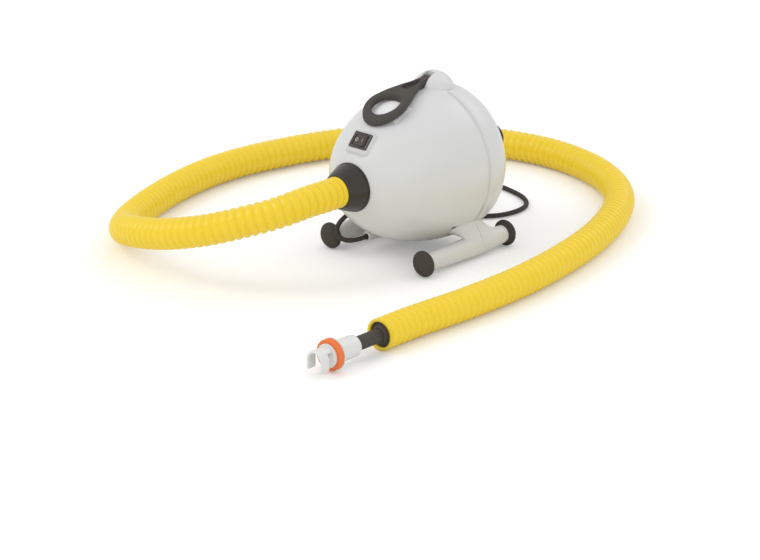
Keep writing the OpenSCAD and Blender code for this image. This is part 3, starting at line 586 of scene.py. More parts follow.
class Finish(Enum):
    """Every finish on the inflator."""

    HOUSING = Moulded("housing_grey", (0.335, 0.335, 0.33), gloss=0.42, grain=0.012, grain_size=700, dust=0.05, coat=0.05, seam=True)
    TRIM = Moulded("dark_trim", (0.033, 0.025, 0.017), gloss=0.46, grain=0.03, grain_size=1100, dust=0.025)
    COLLAR = Moulded("collar_dark", (0.024, 0.019, 0.012), gloss=0.36, grain=0.012, grain_size=900, dust=0.02, coat=0.1)
    FOOT = Moulded("foot_rubber", (0.032, 0.021, 0.013), gloss=0.46, grain=0.04, grain_size=800, dust=0.05)
    SWITCH = Moulded("switch_black", (0.020, 0.016, 0.014), gloss=0.3, grain=0.012, dust=0.03, coat=0.1)
    ROCKER = Moulded("rocker_brown", (0.045, 0.024, 0.019), gloss=0.24, grain=0.006, dust=0.02, coat=0.15)
    PRINT = Moulded("mark_white", (0.62, 0.60, 0.56), gloss=0.45)
    LABEL = Moulded("blank_label", (0.84, 0.85, 0.85), gloss=0.33, grain=0.004, dust=0.03, drift=0.02)
    STEEL = Metal("steel", (0.56, 0.57, 0.58))
    SHEET = Metal("sheet_steel", (0.66, 0.67, 0.68), gloss=0.38, stain=0.12)
    CAST = Metal("cast_alloy", (0.62, 0.63, 0.64), gloss=0.52, stain=0.25, mark=0.03)
    FAN = Metal("fan_alloy", (0.78, 0.79, 0.80), gloss=0.3)
    LAMINATION = Metal("lamination", (0.25, 0.27, 0.30), gloss=0.45, stain=0.4, scratch=0.2)
    COPPER = Metal("copper_wire", (0.62, 0.25, 0.10), gloss=0.28, stain=0.35, mark=0.05)
    BRASS = Metal("contact_brass", (0.74, 0.56, 0.25), gloss=0.28)
    CARBON = Moulded("carbon", (0.02, 0.02, 0.022), gloss=0.6)
    SPRING = Metal("spring_steel", (0.55, 0.56, 0.58), gloss=0.25)
    RUBBER = Moulded("black_rubber", (0.018, 0.018, 0.019), gloss=0.62, grain=0.05, dust=0.05)
    FOAM = Moulded("filter_foam", (0.055, 0.058, 0.06), gloss=0.9, grain=0.6, grain_size=420, dust=0.2)
    GUARD = Moulded("guard_plastic", (0.05, 0.05, 0.047), gloss=0.5)
    BLOCK = Moulded("block_plastic", (0.72, 0.69, 0.62), gloss=0.45)
    FILM = Moulded("capacitor_film", (0.62, 0.42, 0.09), gloss=0.25, coat=0.2)
    BROWN_WIRE = Moulded("wire_brown", (0.16, 0.06, 0.025), gloss=0.35)
    BLUE_WIRE = Moulded("wire_blue", (0.03, 0.10, 0.32), gloss=0.35)
    LEAD = Moulded("lead_sheath", (0.036, 0.028, 0.023), gloss=0.42, grain=0.02, grain_size=1300, dust=0.06)
    PLUG = Moulded("plug_plastic", (0.035, 0.028, 0.023), gloss=0.45, grain=0.03)
    PIN = Metal("nickel_pin", (0.72, 0.72, 0.72), gloss=0.18, stain=0.05)
    ADAPTER = Moulded("adapter_white", (0.66, 0.67, 0.64), gloss=0.33, grain=0.008, dust=0.08, coat=0.1)
    ORANGE = Moulded("washer_orange", (0.86, 0.16, 0.035), gloss=0.42, grain=0.02, dust=0.02)
    HOSE = HosePlastic()

    def material(self) -> bpy.types.Material:
        """The finish's one material, built the first time it is asked for."""
        return bpy.data.materials.get(self.value.name) or self.value.build()


def dress(obj: bpy.types.Object, finish: Finish) -> bpy.types.Object:
    """Gives a piece one finish in place of all its materials."""
    obj.data.materials.clear()
    obj.data.materials.append(finish.material())
    return obj


# ---------------------------------------------------------------- studio
@dataclass
class Studio:
    """Camera, floor and soft lamps."""

    azimuth: float = 42.1
    elevation: float = 20.44
    distance: float = 5.115
    target: tuple[float, float, float] = (-0.088, SEAM_Y, -0.0753)
    focal: float = 3850 / 760 * 36

    def back(self) -> np.ndarray:
        """Unit vector from the target to the camera."""
        a, e = math.radians(self.azimuth), math.radians(self.elevation)
        return np.array([math.sin(a) * math.cos(e), -math.cos(a) * math.cos(e), math.sin(e)])

    def camera(self) -> None:
        """Makes the camera."""
        data = bpy.data.cameras.new("view")
        data.lens, data.sensor_width = self.focal, 36
        data.sensor_fit = "HORIZONTAL"
        data.clip_end = 50
        cam = bpy.data.objects.new("view", data)
        bpy.context.scene.collection.objects.link(cam)
        back = self.back()
        place = np.array(self.target) + self.distance * back
        a = math.radians(self.azimuth)
        cam.matrix_world = axes(tuple(place), tuple(back), (math.cos(a), math.sin(a), 0))
        bpy.context.scene.camera = cam

    def lamp(self, name: str, place: tuple[float, float, float], size: float, watts: float) -> None:
        """One square soft lamp that points at the middle of the object.

        Args:
            name: Its name.
            place: Where it hangs, in metres.
            size: Length of its side.
            watts: Its power.
        """
        data = bpy.data.lights.new(name, "AREA")
        data.shape, data.size, data.energy = "SQUARE", size, watts
        obj = bpy.data.objects.new(name, data)
        bpy.context.scene.collection.objects.link(obj)
        away = np.array(place) - np.array([0, 0, 0.1])
        obj.matrix_world = axes(place, tuple(away), (1, 0.1, 0))

    def light(self) -> None:
        """Makes the lamps and the world."""
        self.lamp("key", (-1.3, -2.0, 2.6), 1.6, 20)
        self.lamp("fill", (2.6, -1.6, 1.4), 2.0, 6)
        self.lamp("rim", (0.6, 2.4, 2.2), 1.6, 7)
        world = bpy.data.worlds.new("studio")
        bpy.context.scene.world = world
        world.use_nodes = True
        world.node_tree.nodes["Background"].inputs["Color"].default_value = (1, 1, 1, 1)
        world.node_tree.nodes["Background"].inputs["Strength"].default_value = 0.84
        bpy.context.scene.view_settings.view_transform = "Standard"

    def floor(self) -> None:
        """Makes the pale floor, which shows white and keeps the object's shadow."""
        grid = np.array([[[-9, -9, 0], [-9, 9, 0]], [[9, -9, 0], [9, 9, 0]]], float)
        obj = grid_mesh("floor", grid[::-1])
        obj.location.z = -0.0004
        mat = bpy.data.materials.new("floor")
        mat.use_nodes = True
        n = Nodes(mat.node_tree)
        bsdf = mat.node_tree.nodes["Principled BSDF"]
        tone = n.add("ShaderNodeTexNoise", Scale=0.8, Detail=1.0)
        n.link(n.add("ShaderNodeTexCoord").outputs["Object"], tone.inputs["Vector"])
        n.link(n.mix(n.math("MULTIPLY", tone.outputs["Fac"], 0.1), (0.93, 0.93, 0.93), (0.9, 0.9, 0.9)), bsdf.inputs["Base Color"])
        bsdf.inputs["Roughness"].default_value = 0.85
        bsdf.inputs["Specular IOR Level"].default_value = 0.1
        seen = n.add("ShaderNodeLightPath").outputs["Is Camera Ray"]
        bsdf.inputs["Emission Color"].default_value = (1, 1, 1, 1)
        n.link(n.math("MULTIPLY", seen, 0.16), bsdf.inputs["Emission Strength"])
        obj.data.materials.append(mat)


# ---------------------------------------------------------------- hose and lead
HOSE_ROUTE = [
    (0, -145, 114.5), (0, -165, 114.5), (-3, -192, 114), (-14, -232, 108), (-43, -265, 97),
    (-80, -288, 84), (-122, -301, 72), (-165, -303, 61), (-209, -295, 51), (-247, -277, 40), (-280, -248, 29),
    (-306, -215, 23), (-327, -173, 21), (-342, -131, 21), (-354, -89, 21), (-363, -45, 21), (-368, 1, 21),
    (-367, 48, 21), (-360, 94, 21), (-349, 137, 21), (-334, 182, 21), (-312, 228, 21), (-281, 273, 21),
    (-240, 313, 21), (-188, 345, 21), (-131, 365, 21), (-80, 372, 21), (-30, 368, 21), (24, 352, 21),
    (72, 325, 21), (113, 287, 21), (146, 238, 21), (171, 185, 21), (190, 130, 21), (204, 72, 21),
    (214, 12, 21), (220, -52, 21), (221, -115, 21), (218, -180, 21), (213.5, -235, 21), (212.5, -270, 21),
    (212.5, -293, 21),
]
HOSE_END = (0.2125, -0.293, 0.021)
LEAD_ROUTE = [
    (-38, -46, 20), (-38, -51, 20), (-39.5, -64, 20), (-44.5, -74, 20), (-52, -80, 22.5),
    (-59, -81, 29), (-63, -75, 36), (-66, -63, 41), (-71, -48, 42), (-84, -26, 37.5),
    (-93, -10, 32), (-100, 6, 22), (-104, 24, 10.5), (-107, 46, 4.2), (-112, 79, 3.4),
    (-126, 118, 3.4), (-144, 156, 3.4), (-150, 196, 3.4), (-138, 234, 3.4), (-110, 255, 3.4),
    (-76, 258, 3.4), (-42, 252, 3.4), (-12, 240, 3.4), (8, 218, 3.4), (12, 190, 3.4),
    (2, 161, 3.4), (-22, 142, 3.4), (-54, 136, 3.4),
]
COIL_CENTRE = (-88.0, 181.0)


@dataclass
class Hose:
    """Corrugated air hose: a wavy profile carried along its route, with a plain cut at each end."""

    radius: float = 20.5 * MM
    groove: float = 2.6 * MM
    pitch: float = 10.6 * MM
    wall: float = 1.5 * MM
    sides: int = 40
    per_rib: int = 8
    mouth: float = 6 * MM

    def build(self, with_pieces: list[bpy.types.Object]) -> bpy.types.Object:
        """Builds the hose: radius = outer - depth * (1 - |cos|^0.7) over each rib.

        Args:
            with_pieces: The fittings on its free end; not used.

        Returns:
            The hose.
        """
        route = np.array(HOSE_ROUTE + [(212.5, -293 - self.mouth / MM, 21)]) * MM
        path = spline(route, self.pitch / self.per_rib)
        s = run_length(path)
        side, up = carried_frames(path)
        wave = np.abs(np.cos(math.pi * s / self.pitch)) ** 0.75
        ends = np.clip(np.minimum(s, s[-1] - s) / (3 * MM), 0, 1)
        r = self.radius - self.groove * (1 - wave) * ends
        inner = self.radius - self.groove - self.wall
        back = np.linspace(s[-1], s[-1] - 26 * MM, 14)
        tail = np.stack([np.interp(back, s, path[:, k]) for k in range(3)], -1)
        pos = np.concatenate([path[:1], path, tail, tail[-1:]])
        sd = np.concatenate([side[:1], side, np.repeat(side[-1:], 15, 0)])
        upw = np.concatenate([up[:1], up, np.repeat(up[-1:], 15, 0)])
        rr = np.concatenate([[0], r, np.full(14, inner), [0]])
        a = np.linspace(0, 2 * math.pi, self.sides, endpoint=False)
        grid = pos[:, None] + rr[:, None, None] * (
            np.cos(a)[None, :, None] * sd[:, None] + np.sin(a)[None, :, None] * upw[:, None]
        )
        grid[..., 2] = np.maximum(grid[..., 2], 0.0002)
        obj = grid_mesh("hose_tube", grid, wrap_v=True)
        # the groove attribute drives the painted shade: full in the grooves, 0.8 inside the mouth
        deep = np.concatenate([[0], 1 - wave, np.full(15, 0.8)])
        obj.data.attributes.new("groove", "FLOAT", "POINT").data.foreach_set(
            "value", np.repeat(deep, self.sides).astype(np.float32)
        )
        tidied(obj, 1e-6)
        dress(obj, Finish.HOSE)
        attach(obj, "housing")
        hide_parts("hose")
        log.info("hose: %.3f m, %d faces", s[-1], len(obj.data.polygons))
        return obj


@dataclass
class Lead:
    """Mains lead: one round tube out of the duct, over the skid, round the floor and into its coil."""

    radius: float = 3.2 * MM
    sides: int = 14
    step: float = 3.2 * MM
    inner: float = 32.8
    outer: float = 39.2

    def coil(self) -> np.ndarray:
        """Points of six turns, wound outside, inside, up, and out again.

        The angle falls steadily; radius and height step smoothly from turn to turn.

        Returns:
            Rows of x, y, z in millimetres.
        """
        turns = np.linspace(0, 5.5833, 150)
        ang = np.radians(-90 - 360 * turns)
        radii = [self.outer, self.inner, self.inner, self.outer, self.outer, self.inner, self.inner]
        levels = [3.4, 3.4, 9.8, 9.8, 16.2, 16.2, 16.2]

        def eased(values: list[float]) -> np.ndarray:
            """Holds each turn's value and eases to the next over its last sixth."""
            v = np.array(values)
            k = np.minimum(turns.astype(int), 5)
            t = np.clip((turns - k - 0.83) / 0.17, 0, 1)
            t = t * t * (3 - 2 * t)
            return v[k] * (1 - t) + v[k + 1] * t

        r = eased(radii)
        return np.stack([COIL_CENTRE[0] + r * np.cos(ang), COIL_CENTRE[1] + r * np.sin(ang), eased(levels)], -1)

    def build(self, with_pieces: list[bpy.types.Object]) -> bpy.types.Object:
        """Builds the lead as one tube.

        Args:
            with_pieces: The plug's pieces; not used.

        Returns:
            The lead.
        """
        start = np.array(LEAD_ROUTE, float)
        coil = self.coil()
        rise = np.array([
            (-66.0, 203.8, 18.5), (-64.0, 196.2, 23.9), (-66.0, 188.6, 30.3), (-71.6, 183.0, 35.7), (-79.2, 181.0, 38.0),
        ])
        path = spline(np.concatenate([start, coil, rise]) * MM, self.step)
        side, up = carried_frames(path)
        a = np.linspace(0, 2 * math.pi, self.sides, endpoint=False)
        pos = np.concatenate([path[:1], path, path[-1:]])
        sd, upw = np.concatenate([side[:1], side, side[-1:]]), np.concatenate([up[:1], up, up[-1:]])
        r = np.concatenate([[0], np.full(len(path), self.radius), [0]])
        grid = pos[:, None] + r[:, None, None] * (
            np.cos(a)[None, :, None] * sd[:, None] + np.sin(a)[None, :, None] * upw[:, None]
        )
        obj = tidied(grid_mesh("lead_run", grid, wrap_v=True))
        dress(obj, Finish.LEAD)
        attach(obj, "housing")
        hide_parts("mains_lead", "lead_coil")
        return obj


# ---------------------------------------------------------------- housing shapes
def egg_radius(s: np.ndarray) -> np.ndarray:
    """Radius of the housing at a station: an ellipse in front of the seam, a squarer curve behind it."""
    s = np.asarray(s, float)
    front = 102.5 * np.sqrt(np.clip(1 - (s / 159) ** 2, 0, 1))
    rear = 102.5 * np.clip(1 - np.abs(s / 72) ** 2.65, 0, 1) ** (1 / 2.65)
    return np.where(s >= 0, front, rear)


def to_frame(x: np.ndarray, s: np.ndarray, z: np.ndarray) -> np.ndarray:
    """Points in metres from x, station and height in millimetres."""
    x, s, z = np.broadcast_arrays(np.asarray(x, float), np.asarray(s, float), np.asarray(z, float))
    return np.stack([x, SEAM_Y / MM - s, z], -1) * MM


def split_at_seam(obj: bpy.types.Object, front: bool, gap: float = 0.2 * MM) -> bpy.types.Object:
    """Keeps one side of the seam and closes the cut.

    Args:
        obj: A closed mesh object.
        front: Whether the front side is kept.
        gap: Distance of the cut from the seam.

    Returns:
        The same object.
    """
    bm = bmesh.new()
    bm.from_mesh(obj.data)
    sign = -1 if front else 1
    cut = bmesh.ops.bisect_plane(
        bm, geom=bm.verts[:] + bm.edges[:] + bm.faces[:], plane_co=(0, SEAM_Y + sign * gap, 0),
        plane_no=(0, -sign, 0), clear_outer=True,
    )
    edges = [e for e in cut["geom_cut"] if isinstance(e, bmesh.types.BMEdge)]
    bmesh.ops.triangle_fill(bm, edges=edges, use_beauty=True)
    bmesh.ops.recalc_face_normals(bm, faces=bm.faces)
    bm.to_mesh(obj.data)
    bm.free()
    smooth_by_angle(obj, 40)
    return obj


@dataclass
class Leg:
    """One skid with the web that blends it into the housing. Sizes in millimetres."""

    side: int
    skid_x: float = 80.5
    skid_z: float = 17.3
    bow: float = 1.5

    def tube_radius(self, s: np.ndarray) -> np.ndarray:
        """Radius of the skid: it falls off with the square of the distance from the seam."""
        s = np.asarray(s, float)
        return np.where(s >= 0, 13.7 - 2.9 * (s / 97) ** 2, 13.7 - 2.1 * (s / 50) ** 2)

    def tube_drop(self, s: np.ndarray) -> np.ndarray:
        """How far the skid's middle sags below its ends: a parabola on each side of the seam."""
        s = np.asarray(s, float)
        return self.bow * np.clip(1 - (s / np.where(s >= 0, 97, 50)) ** 2, 0, 1)

    def tube(self) -> bpy.types.Object:
        """Builds the skid as a sagging lathe."""
        s = np.concatenate([[97], np.linspace(97, -50, 76), [-50]])
        r = np.concatenate([[0], self.tube_radius(s[1:-1]), [0]])
        a = np.linspace(0, 2 * math.pi, 72, endpoint=False)
        z = self.skid_z - self.tube_drop(s)[:, None] + r[:, None] * np.sin(a)
        grid = to_frame(self.side * (self.skid_x + r[:, None] * np.cos(a)), s[:, None], z)
        return tidied(grid_mesh("skid", grid, wrap_v=True))

    def web(self) -> bpy.types.Object:
        """Builds the web as cubic Hermite curves from a ring on the egg to a ring on the skid.

        Each curve leaves the egg along its surface towards the middle of the web, and meets the skid
        along its surface away from that middle, which gives a fillet at both ends.
        """
        phi = np.linspace(0, 2 * math.pi, 128, endpoint=False)
        c, sn = np.cos(phi), np.sin(phi)

        def on_egg(k: float, sink: float) -> np.ndarray:
            """Ring on the egg at a share k of its full size, sunk below the surface."""
            x, s = 65.5 + 12.5 * k * c, 7 + 32 * k * sn
            z = 114.5 - np.sqrt((egg_radius(s) - sink) ** 2 - x**2)
            return np.stack([x, s, z], -1)

        def on_tube(k: float, sink: float) -> np.ndarray:
            """Ring on the skid at a share k of its full size, sunk below the surface."""
            turn, s = np.radians(62) * k * c + 0.12, -6 + 33 * k * sn
            r = self.tube_radius(s) - sink
            return np.stack([self.skid_x + r * np.sin(turn), s, self.skid_z - self.tube_drop(s) + r * np.cos(turn)], -1)

        egg, tube = on_egg(1, 0.25), on_tube(1, 0.15)
        from_egg = on_egg(0.9, 0.25) - egg
        to_tube = tube - on_tube(0.9, 0.15)
        from_egg *= ((5 + 13 * sn**2) / np.linalg.norm(from_egg, axis=1))[:, None]
        to_tube *= ((13 + 5 * sn**2) / np.linalg.norm(to_tube, axis=1))[:, None]
        v = np.linspace(0, 1, 26)[:, None, None]
        curve = (2 * v**3 - 3 * v**2 + 1) * egg + (v**3 - 2 * v**2 + v) * from_egg + (
            3 * v**2 - 2 * v**3) * tube + (v**3 - v**2) * to_tube
        lid = np.broadcast_to(on_egg(0, 6)[:1], egg.shape)[None]
        foot = np.broadcast_to(on_tube(0, 6)[:1], egg.shape)[None]
        full = np.concatenate([lid, curve, foot])
        grid = to_frame(self.side * full[..., 0], full[..., 1], full[..., 2])
        return tidied(grid_mesh("web", grid, wrap_v=True))

    def build(self) -> None:
        """Builds the leg in two halves, one with each shell."""
        for front in (True, False):
            name = f"leg_{'front' if front else 'rear'}_{'right' if self.side > 0 else 'left'}"
            obj = split_at_seam(joined(name, [self.tube(), self.web()]), front)
            dress(obj, Finish.HOUSING)
            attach(obj, "housing")
            log.info("%s: %d faces", name, len(obj.data.polygons))


@dataclass
class Lathe:
    """A round piece that stands for a CAD node. The profile is radius and height in millimetres."""

    node: str
    finish: Finish
    slot: str
    rows: list[tuple[float, float]]
    origin: tuple[float, float, float]
    axis: tuple[float, float, float]
    closed: bool = False
    soften: float = 1.0
    sides: int = 112

    def build(self) -> bpy.types.Object:
        """Builds the piece.

        Returns:
            The piece.
        """
        rows = self.rows + self.rows[:1] if self.closed else self.rows
        profile = rounded_profile(rows, self.soften) * MM
        if self.closed:
            profile = profile[:-1]
        cross = (1, 0, 0) if abs(self.axis[0]) < 0.5 else (0, 0, 1)
        place = axes(tuple(v * MM for v in self.origin), self.axis, cross)
        obj = turned(self.node + "_round", profile, place, self.sides, self.closed)
        smooth_by_angle(obj, 38)
        dress(obj, self.finish)
        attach(obj, "housing")
        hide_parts(self.node)
        return obj


def collar_rows(rim: float) -> list[tuple[float, float]]:
    """Profile of a port collar: tail, grooved rim, bell and spigot."""
    k = np.linspace(0, 1, 12)
    bell = [(22.5 + (rim - 0.9 - 22.5) * (1 - v) ** 0.85, 4.4 + 22.1 * v) for v in k]
    return [(15, -12), (21.35, -12), (21.35, 0), (rim, 0), (rim, 2.2), (rim - 1.3, 2.6), (rim - 1.3, 3.6),
            (rim - 0.5, 4), *bell, (21.7, 27.5), (17.5, 27.5), (17.5, 42.5), (16.7, 43.5), (15, 43.5)]


def cap_rows(neck: float) -> list[tuple[float, float]]:
    """Profile of a mushroom foot cap, from its crown over the rim to its stem."""
    return [(0, 8.6), (4, 8.5), (8, 7.9), (12, 6.6), (15.2, 4.4), (16.9, 2.2), (17.3, 0.6), (17.2, -0.9), (16.1, -2.1),
            (13.7, -3.2), (neck + 0.8, -6), (7.9, -6), (7.9, -20), (0, -20)]


@dataclass
class Handle:
    """Folding handle: a ring and two arms that follow the top of the egg. Sizes in millimetres."""

    centre: float = 86
    ring: float = 30
    hole: float = 18.5
    thick: float = 9.5
    corner: float = 3.6

    def reach(self, ang: np.ndarray) -> np.ndarray:
        """Distance from the ring's centre to the outline at an angle from the hinge's direction.

        The outline is the ring's circle joined to the two arms, which run to the hinge as straight lines.
        """
        out = np.full(ang.shape, self.ring)
        corners = np.array([(6.2, 5), (6.2, 22), (8.0, 30), (11.8, 38), (17, 50), (22, 60), (26.6, 72), (28.6, 77)], float)
        x, back = np.abs(np.sin(ang)), np.cos(ang)
        px, pd = corners[:, 0], self.centre - corners[:, 1]
        turn = np.arctan2(px, pd)
        far = np.hypot(px, pd)
        fine = np.concatenate([np.linspace(turn[i], turn[i + 1], 12, endpoint=False) for i in range(len(turn) - 1)])
        mixed = []
        for i in range(len(turn) - 1):
            w = np.linspace(0, 1, 12, endpoint=False)
            q = np.stack([px[i] + w * (px[i + 1] - px[i]), pd[i] + w * (pd[i + 1] - pd[i])], -1)
            mixed.append(np.stack([np.arctan2(q[:, 0], q[:, 1]), np.hypot(q[:, 0], q[:, 1])], -1))
        table = np.concatenate([[[0, self.centre - 5]], np.concatenate(mixed), [[turn[-1], far[-1]]]])
        table = table[np.argsort(table[:, 0])]
        near = np.abs(np.arctan2(x, back))
        arms = np.interp(near, table[:, 0], table[:, 1])
        flat = np.where(near < turn[0], (self.centre - 5) / np.maximum(np.cos(near), 0.1), arms)
        return np.where(near <= turn[-1], np.maximum(flat, out), out)

    def build(self) -> bpy.types.Object:
        """Builds the handle: a rounded section between hole and outline, carried once round the ring.

        Returns:
            The handle.
        """
        ang = np.linspace(-math.pi, math.pi, 540, endpoint=False)
        far = self.reach(ang)[:, None]
        n = 34
        w = np.linspace(0, 1, n)
        w = w * w * (3 - 2 * w) * 0.5 + w * 0.5
        rho = self.hole + (far - self.hole) * np.concatenate([w, w[::-1]])[None]
        edge = np.minimum(rho - self.hole, (far - rho) * 0.95)
        lift = np.sqrt(np.clip(self.corner**2 - np.clip(self.corner - edge, 0, None) ** 2, 0, None)) - self.corner
        x, s = rho * np.sin(ang)[:, None], self.centre - rho * np.cos(ang)[:, None]
        base = 114.5 + egg_radius(np.clip(s, 0, 150)) + 1.2
        top = base + self.thick + lift
        half = np.interp(s, [19, 42, 49], [1.2, 8.6, 7.4])
        inside = np.clip((half - np.abs(x)) / 0.9, 0, 1) * np.clip((s - 19) / 1.2, 0, 1) * np.clip((50 - s) / 1.2, 0, 1)
        top -= 4.6 * inside * inside * (3 - 2 * inside)
        low = base - lift
        z = np.concatenate([top[:, :n], low[:, n:]], 1)
        ring = grid_mesh("grip", to_frame(x, s, z), wrap_u=True, wrap_v=True)
        tidied(ring)
        pivot = to_frame(0, 5, 223.449).tolist()
        rows = rounded_profile([(0, -13.5), (3.5, -13.5), (3.5, -6.2), (5.2, -6.2), (5.2, 6.2), (3.5, 6.2), (3.5, 13.5), (0, 13.5)], 0.5)
        hub = turned("hub", rows * MM, axes(tuple(pivot), (1, 0, 0), (0, 0, 1)), 64)
        obj = joined("carry_handle_round", [ring, hub])
        smooth_by_angle(obj, 42)
        dress(obj, Finish.TRIM)
        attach(obj, "handle")
        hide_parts("carry_handle")
        log.info("handle: %d faces", len(obj.data.polygons))
        return obj


@dataclass
class Adapter:
    """Valve adapter: sleeve, flange, disc, and an open bayonet ring with two prongs. Millimetres."""

    end: tuple[float, float, float] = (212.5, -293, 21)
    start: float = 52
    flange: float = 88.4
    tip: float = 122.4
    outer: float = 12.7
    inner: float = 9.5

    def arc_band(self, name: str, a0: float, a1: float, z0: float, z1: float) -> bpy.types.Object:
        """Part of a thick ring between two angles from the top and two distances along the axis.

        Past a quarter turn each way the band runs straight down, as a prong.

        Args:
            name: Name of the object.
            a0: First angle in degrees, clockwise from above.
            a1: Last angle.
            z0: Near end.
            z1: Far end.

        Returns:
            A closed mesh object.
        """
        o, i, b = self.outer, self.inner, 0.7
        section = np.array([(i, z0 + b), (i + b, z0), (o - b, z0), (o, z0 + b), (o, z1 - b), (o - b, z1), (i + b, z1), (i, z1 - b)])
        ang = np.radians(np.linspace(a0, a1, 60))
        mid = section.mean(0)
        shrink = np.concatenate([[0, 0.86], np.ones(58), [0.86, 0]])
        ang = np.concatenate([ang[:1], ang[:1], ang[1:-1], ang[-1:], ang[-1:]])
        sec = mid + (section - mid)[None] * shrink[:, None, None]
        r, d = sec[..., 0], sec[..., 1]
        turn = np.clip(ang, -math.pi / 2, math.pi / 2)[:, None]
        down = 11 * np.clip(np.abs(ang) - math.pi / 2, 0, None)[:, None]
        grid = np.stack([self.end[0] + r * np.sin(turn), self.end[1] - d, self.end[2] + r * np.cos(turn) - down], -1) * MM
        return tidied(grid_mesh(name, grid, wrap_v=True))

    def build(self) -> bpy.types.Object:
        """Builds the adapter.

        Returns:
            The adapter.
        """
        f = self.flange
        rows = [(9, self.start), (12.9, self.start), (13.7, self.start + 3), (14.1, f - 2), (14.4, f), (20.2, f), (20.2, f + 1.6),
                (14.4, f + 1.6), (14.4, f + 9.6), (15.2, f + 9.8), (15.2, f + 12.2), (8.6, f + 12.4), (8.6, f + 15), (6.6, f + 15),
                (6.6, f + 2), (9, f - 14)]
        body = turned("body", rounded_profile(rows + rows[:1], 0.7)[:-1] * MM, axes(tuple(v * MM for v in self.end), (0, -1, 0), (1, 0, 0)), 96, True)
        claw = self.arc_band("claw", -156, 156, f + 20.5, self.tip)
        root = self.arc_band("root", -52, 52, f + 12, f + 21.5)
        obj = joined("valve_adapter_round", [body, claw, root])
        smooth_by_angle(obj, 38)
        dress(obj, Finish.ADAPTER)
        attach(obj, "housing")
        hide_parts("valve_adapter")
        return obj


@dataclass
class Marks:
    """Plain O and I on the rocker, as thin white meshes."""

    tilt: float = math.radians(48)
    rest: float = math.radians(-8)

    def on_rocker(self, x: np.ndarray, w: np.ndarray, h: np.ndarray) -> np.ndarray:
        """Points given across, up the slope and out of the rocker, carried to the frame.

        They turn by the rocker's rest tilt about its pivot and then by the slope of the switch.
        """
        c, s = math.cos(self.rest), math.sin(self.rest)
        px, pz = c * x + s * h, -s * x + c * h - 3
        ct, st = math.cos(self.tilt), math.sin(self.tilt)
        return np.stack([px, -99 + ct * w - st * pz, 171.47 + st * w + ct * pz], -1) * MM

    def build(self) -> bpy.types.Object:
        """Builds both marks.

        Returns:
            The marks.
        """
        a = np.linspace(0, 2 * math.pi, 48, endpoint=False)
        r = np.array([1.35, 2.05])[:, None]
        x, w = -5.2 + r * np.cos(a), 1.25 * r * np.sin(a)
        o = grid_mesh("o", self.on_rocker(x, w, 5.08 + 2.2 / 11.5 * np.abs(x)), wrap_v=True)
        x, w = np.meshgrid([4.85, 5.5], [-2.4, 2.4], indexing="ij")
        i = grid_mesh("i", self.on_rocker(x, w, 5.08 + 2.2 / 11.5 * np.abs(x)))
        obj = joined("rocker_marks", [o, i])
        mod = obj.modifiers.new("thick", "SOLIDIFY")
        mod.thickness, mod.offset = 0.08 * MM, 0
        dress(obj, Finish.PRINT)
        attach(obj, "rocker")
        return obj


# ---------------------------------------------------------------- CAD nodes
@dataclass
class CadSkin:
    """A CAD node shown by a merged copy with smooth shading across its shallow edges."""

    node: str
    body: str
    finish: Finish
    slot: str
    angle: float = 32
    bevel: float = 0.0
    legs_apart: bool = False

    def build(self, nodes: dict[str, bpy.types.Object]) -> bpy.types.Object:
        """Builds the copy.

        Args:
            nodes: The CAD objects by name.

        Returns:
            The copy.
        """
        mesh = nodes[self.node].data.copy()
        obj = placed(self.node + "_skin", mesh)
        bm = bmesh.new()
        bm.from_mesh(mesh)
        bmesh.ops.remove_doubles(bm, verts=bm.verts, dist=2e-6)
        if self.legs_apart:
            co = np.array([f.calc_center_median() for f in bm.faces]) / MM
            s = SEAM_Y / MM - co[:, 1]
            out = np.hypot(co[:, 0], co[:, 2] - AXIS_Z / MM) > egg_radius(s) + 0.3
            leg = out & (np.abs(co[:, 0]) > 50) & (co[:, 2] < 60)
            bmesh.ops.delete(bm, geom=[f for f, gone in zip(bm.faces, leg) if gone], context="FACES")
        bmesh.ops.dissolve_limit(bm, angle_limit=math.radians(0.4), verts=bm.verts, edges=bm.edges)
        bmesh.ops.triangulate(bm, faces=bm.faces)
        bm.to_mesh(mesh)
        bm.free()
        smooth_by_angle(obj, self.angle)
        if self.bevel:
            mod = obj.modifiers.new("edges", "BEVEL")
            mod.width, mod.segments, mod.limit_method = self.bevel * MM, 2, "ANGLE"
            mod.angle_limit = math.radians(40)
        dress(obj, self.finish)
        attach(obj, self.body)
        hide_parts(self.node)
        log.info("%s: %d triangles", obj.name, len(mesh.polygons))
        return obj


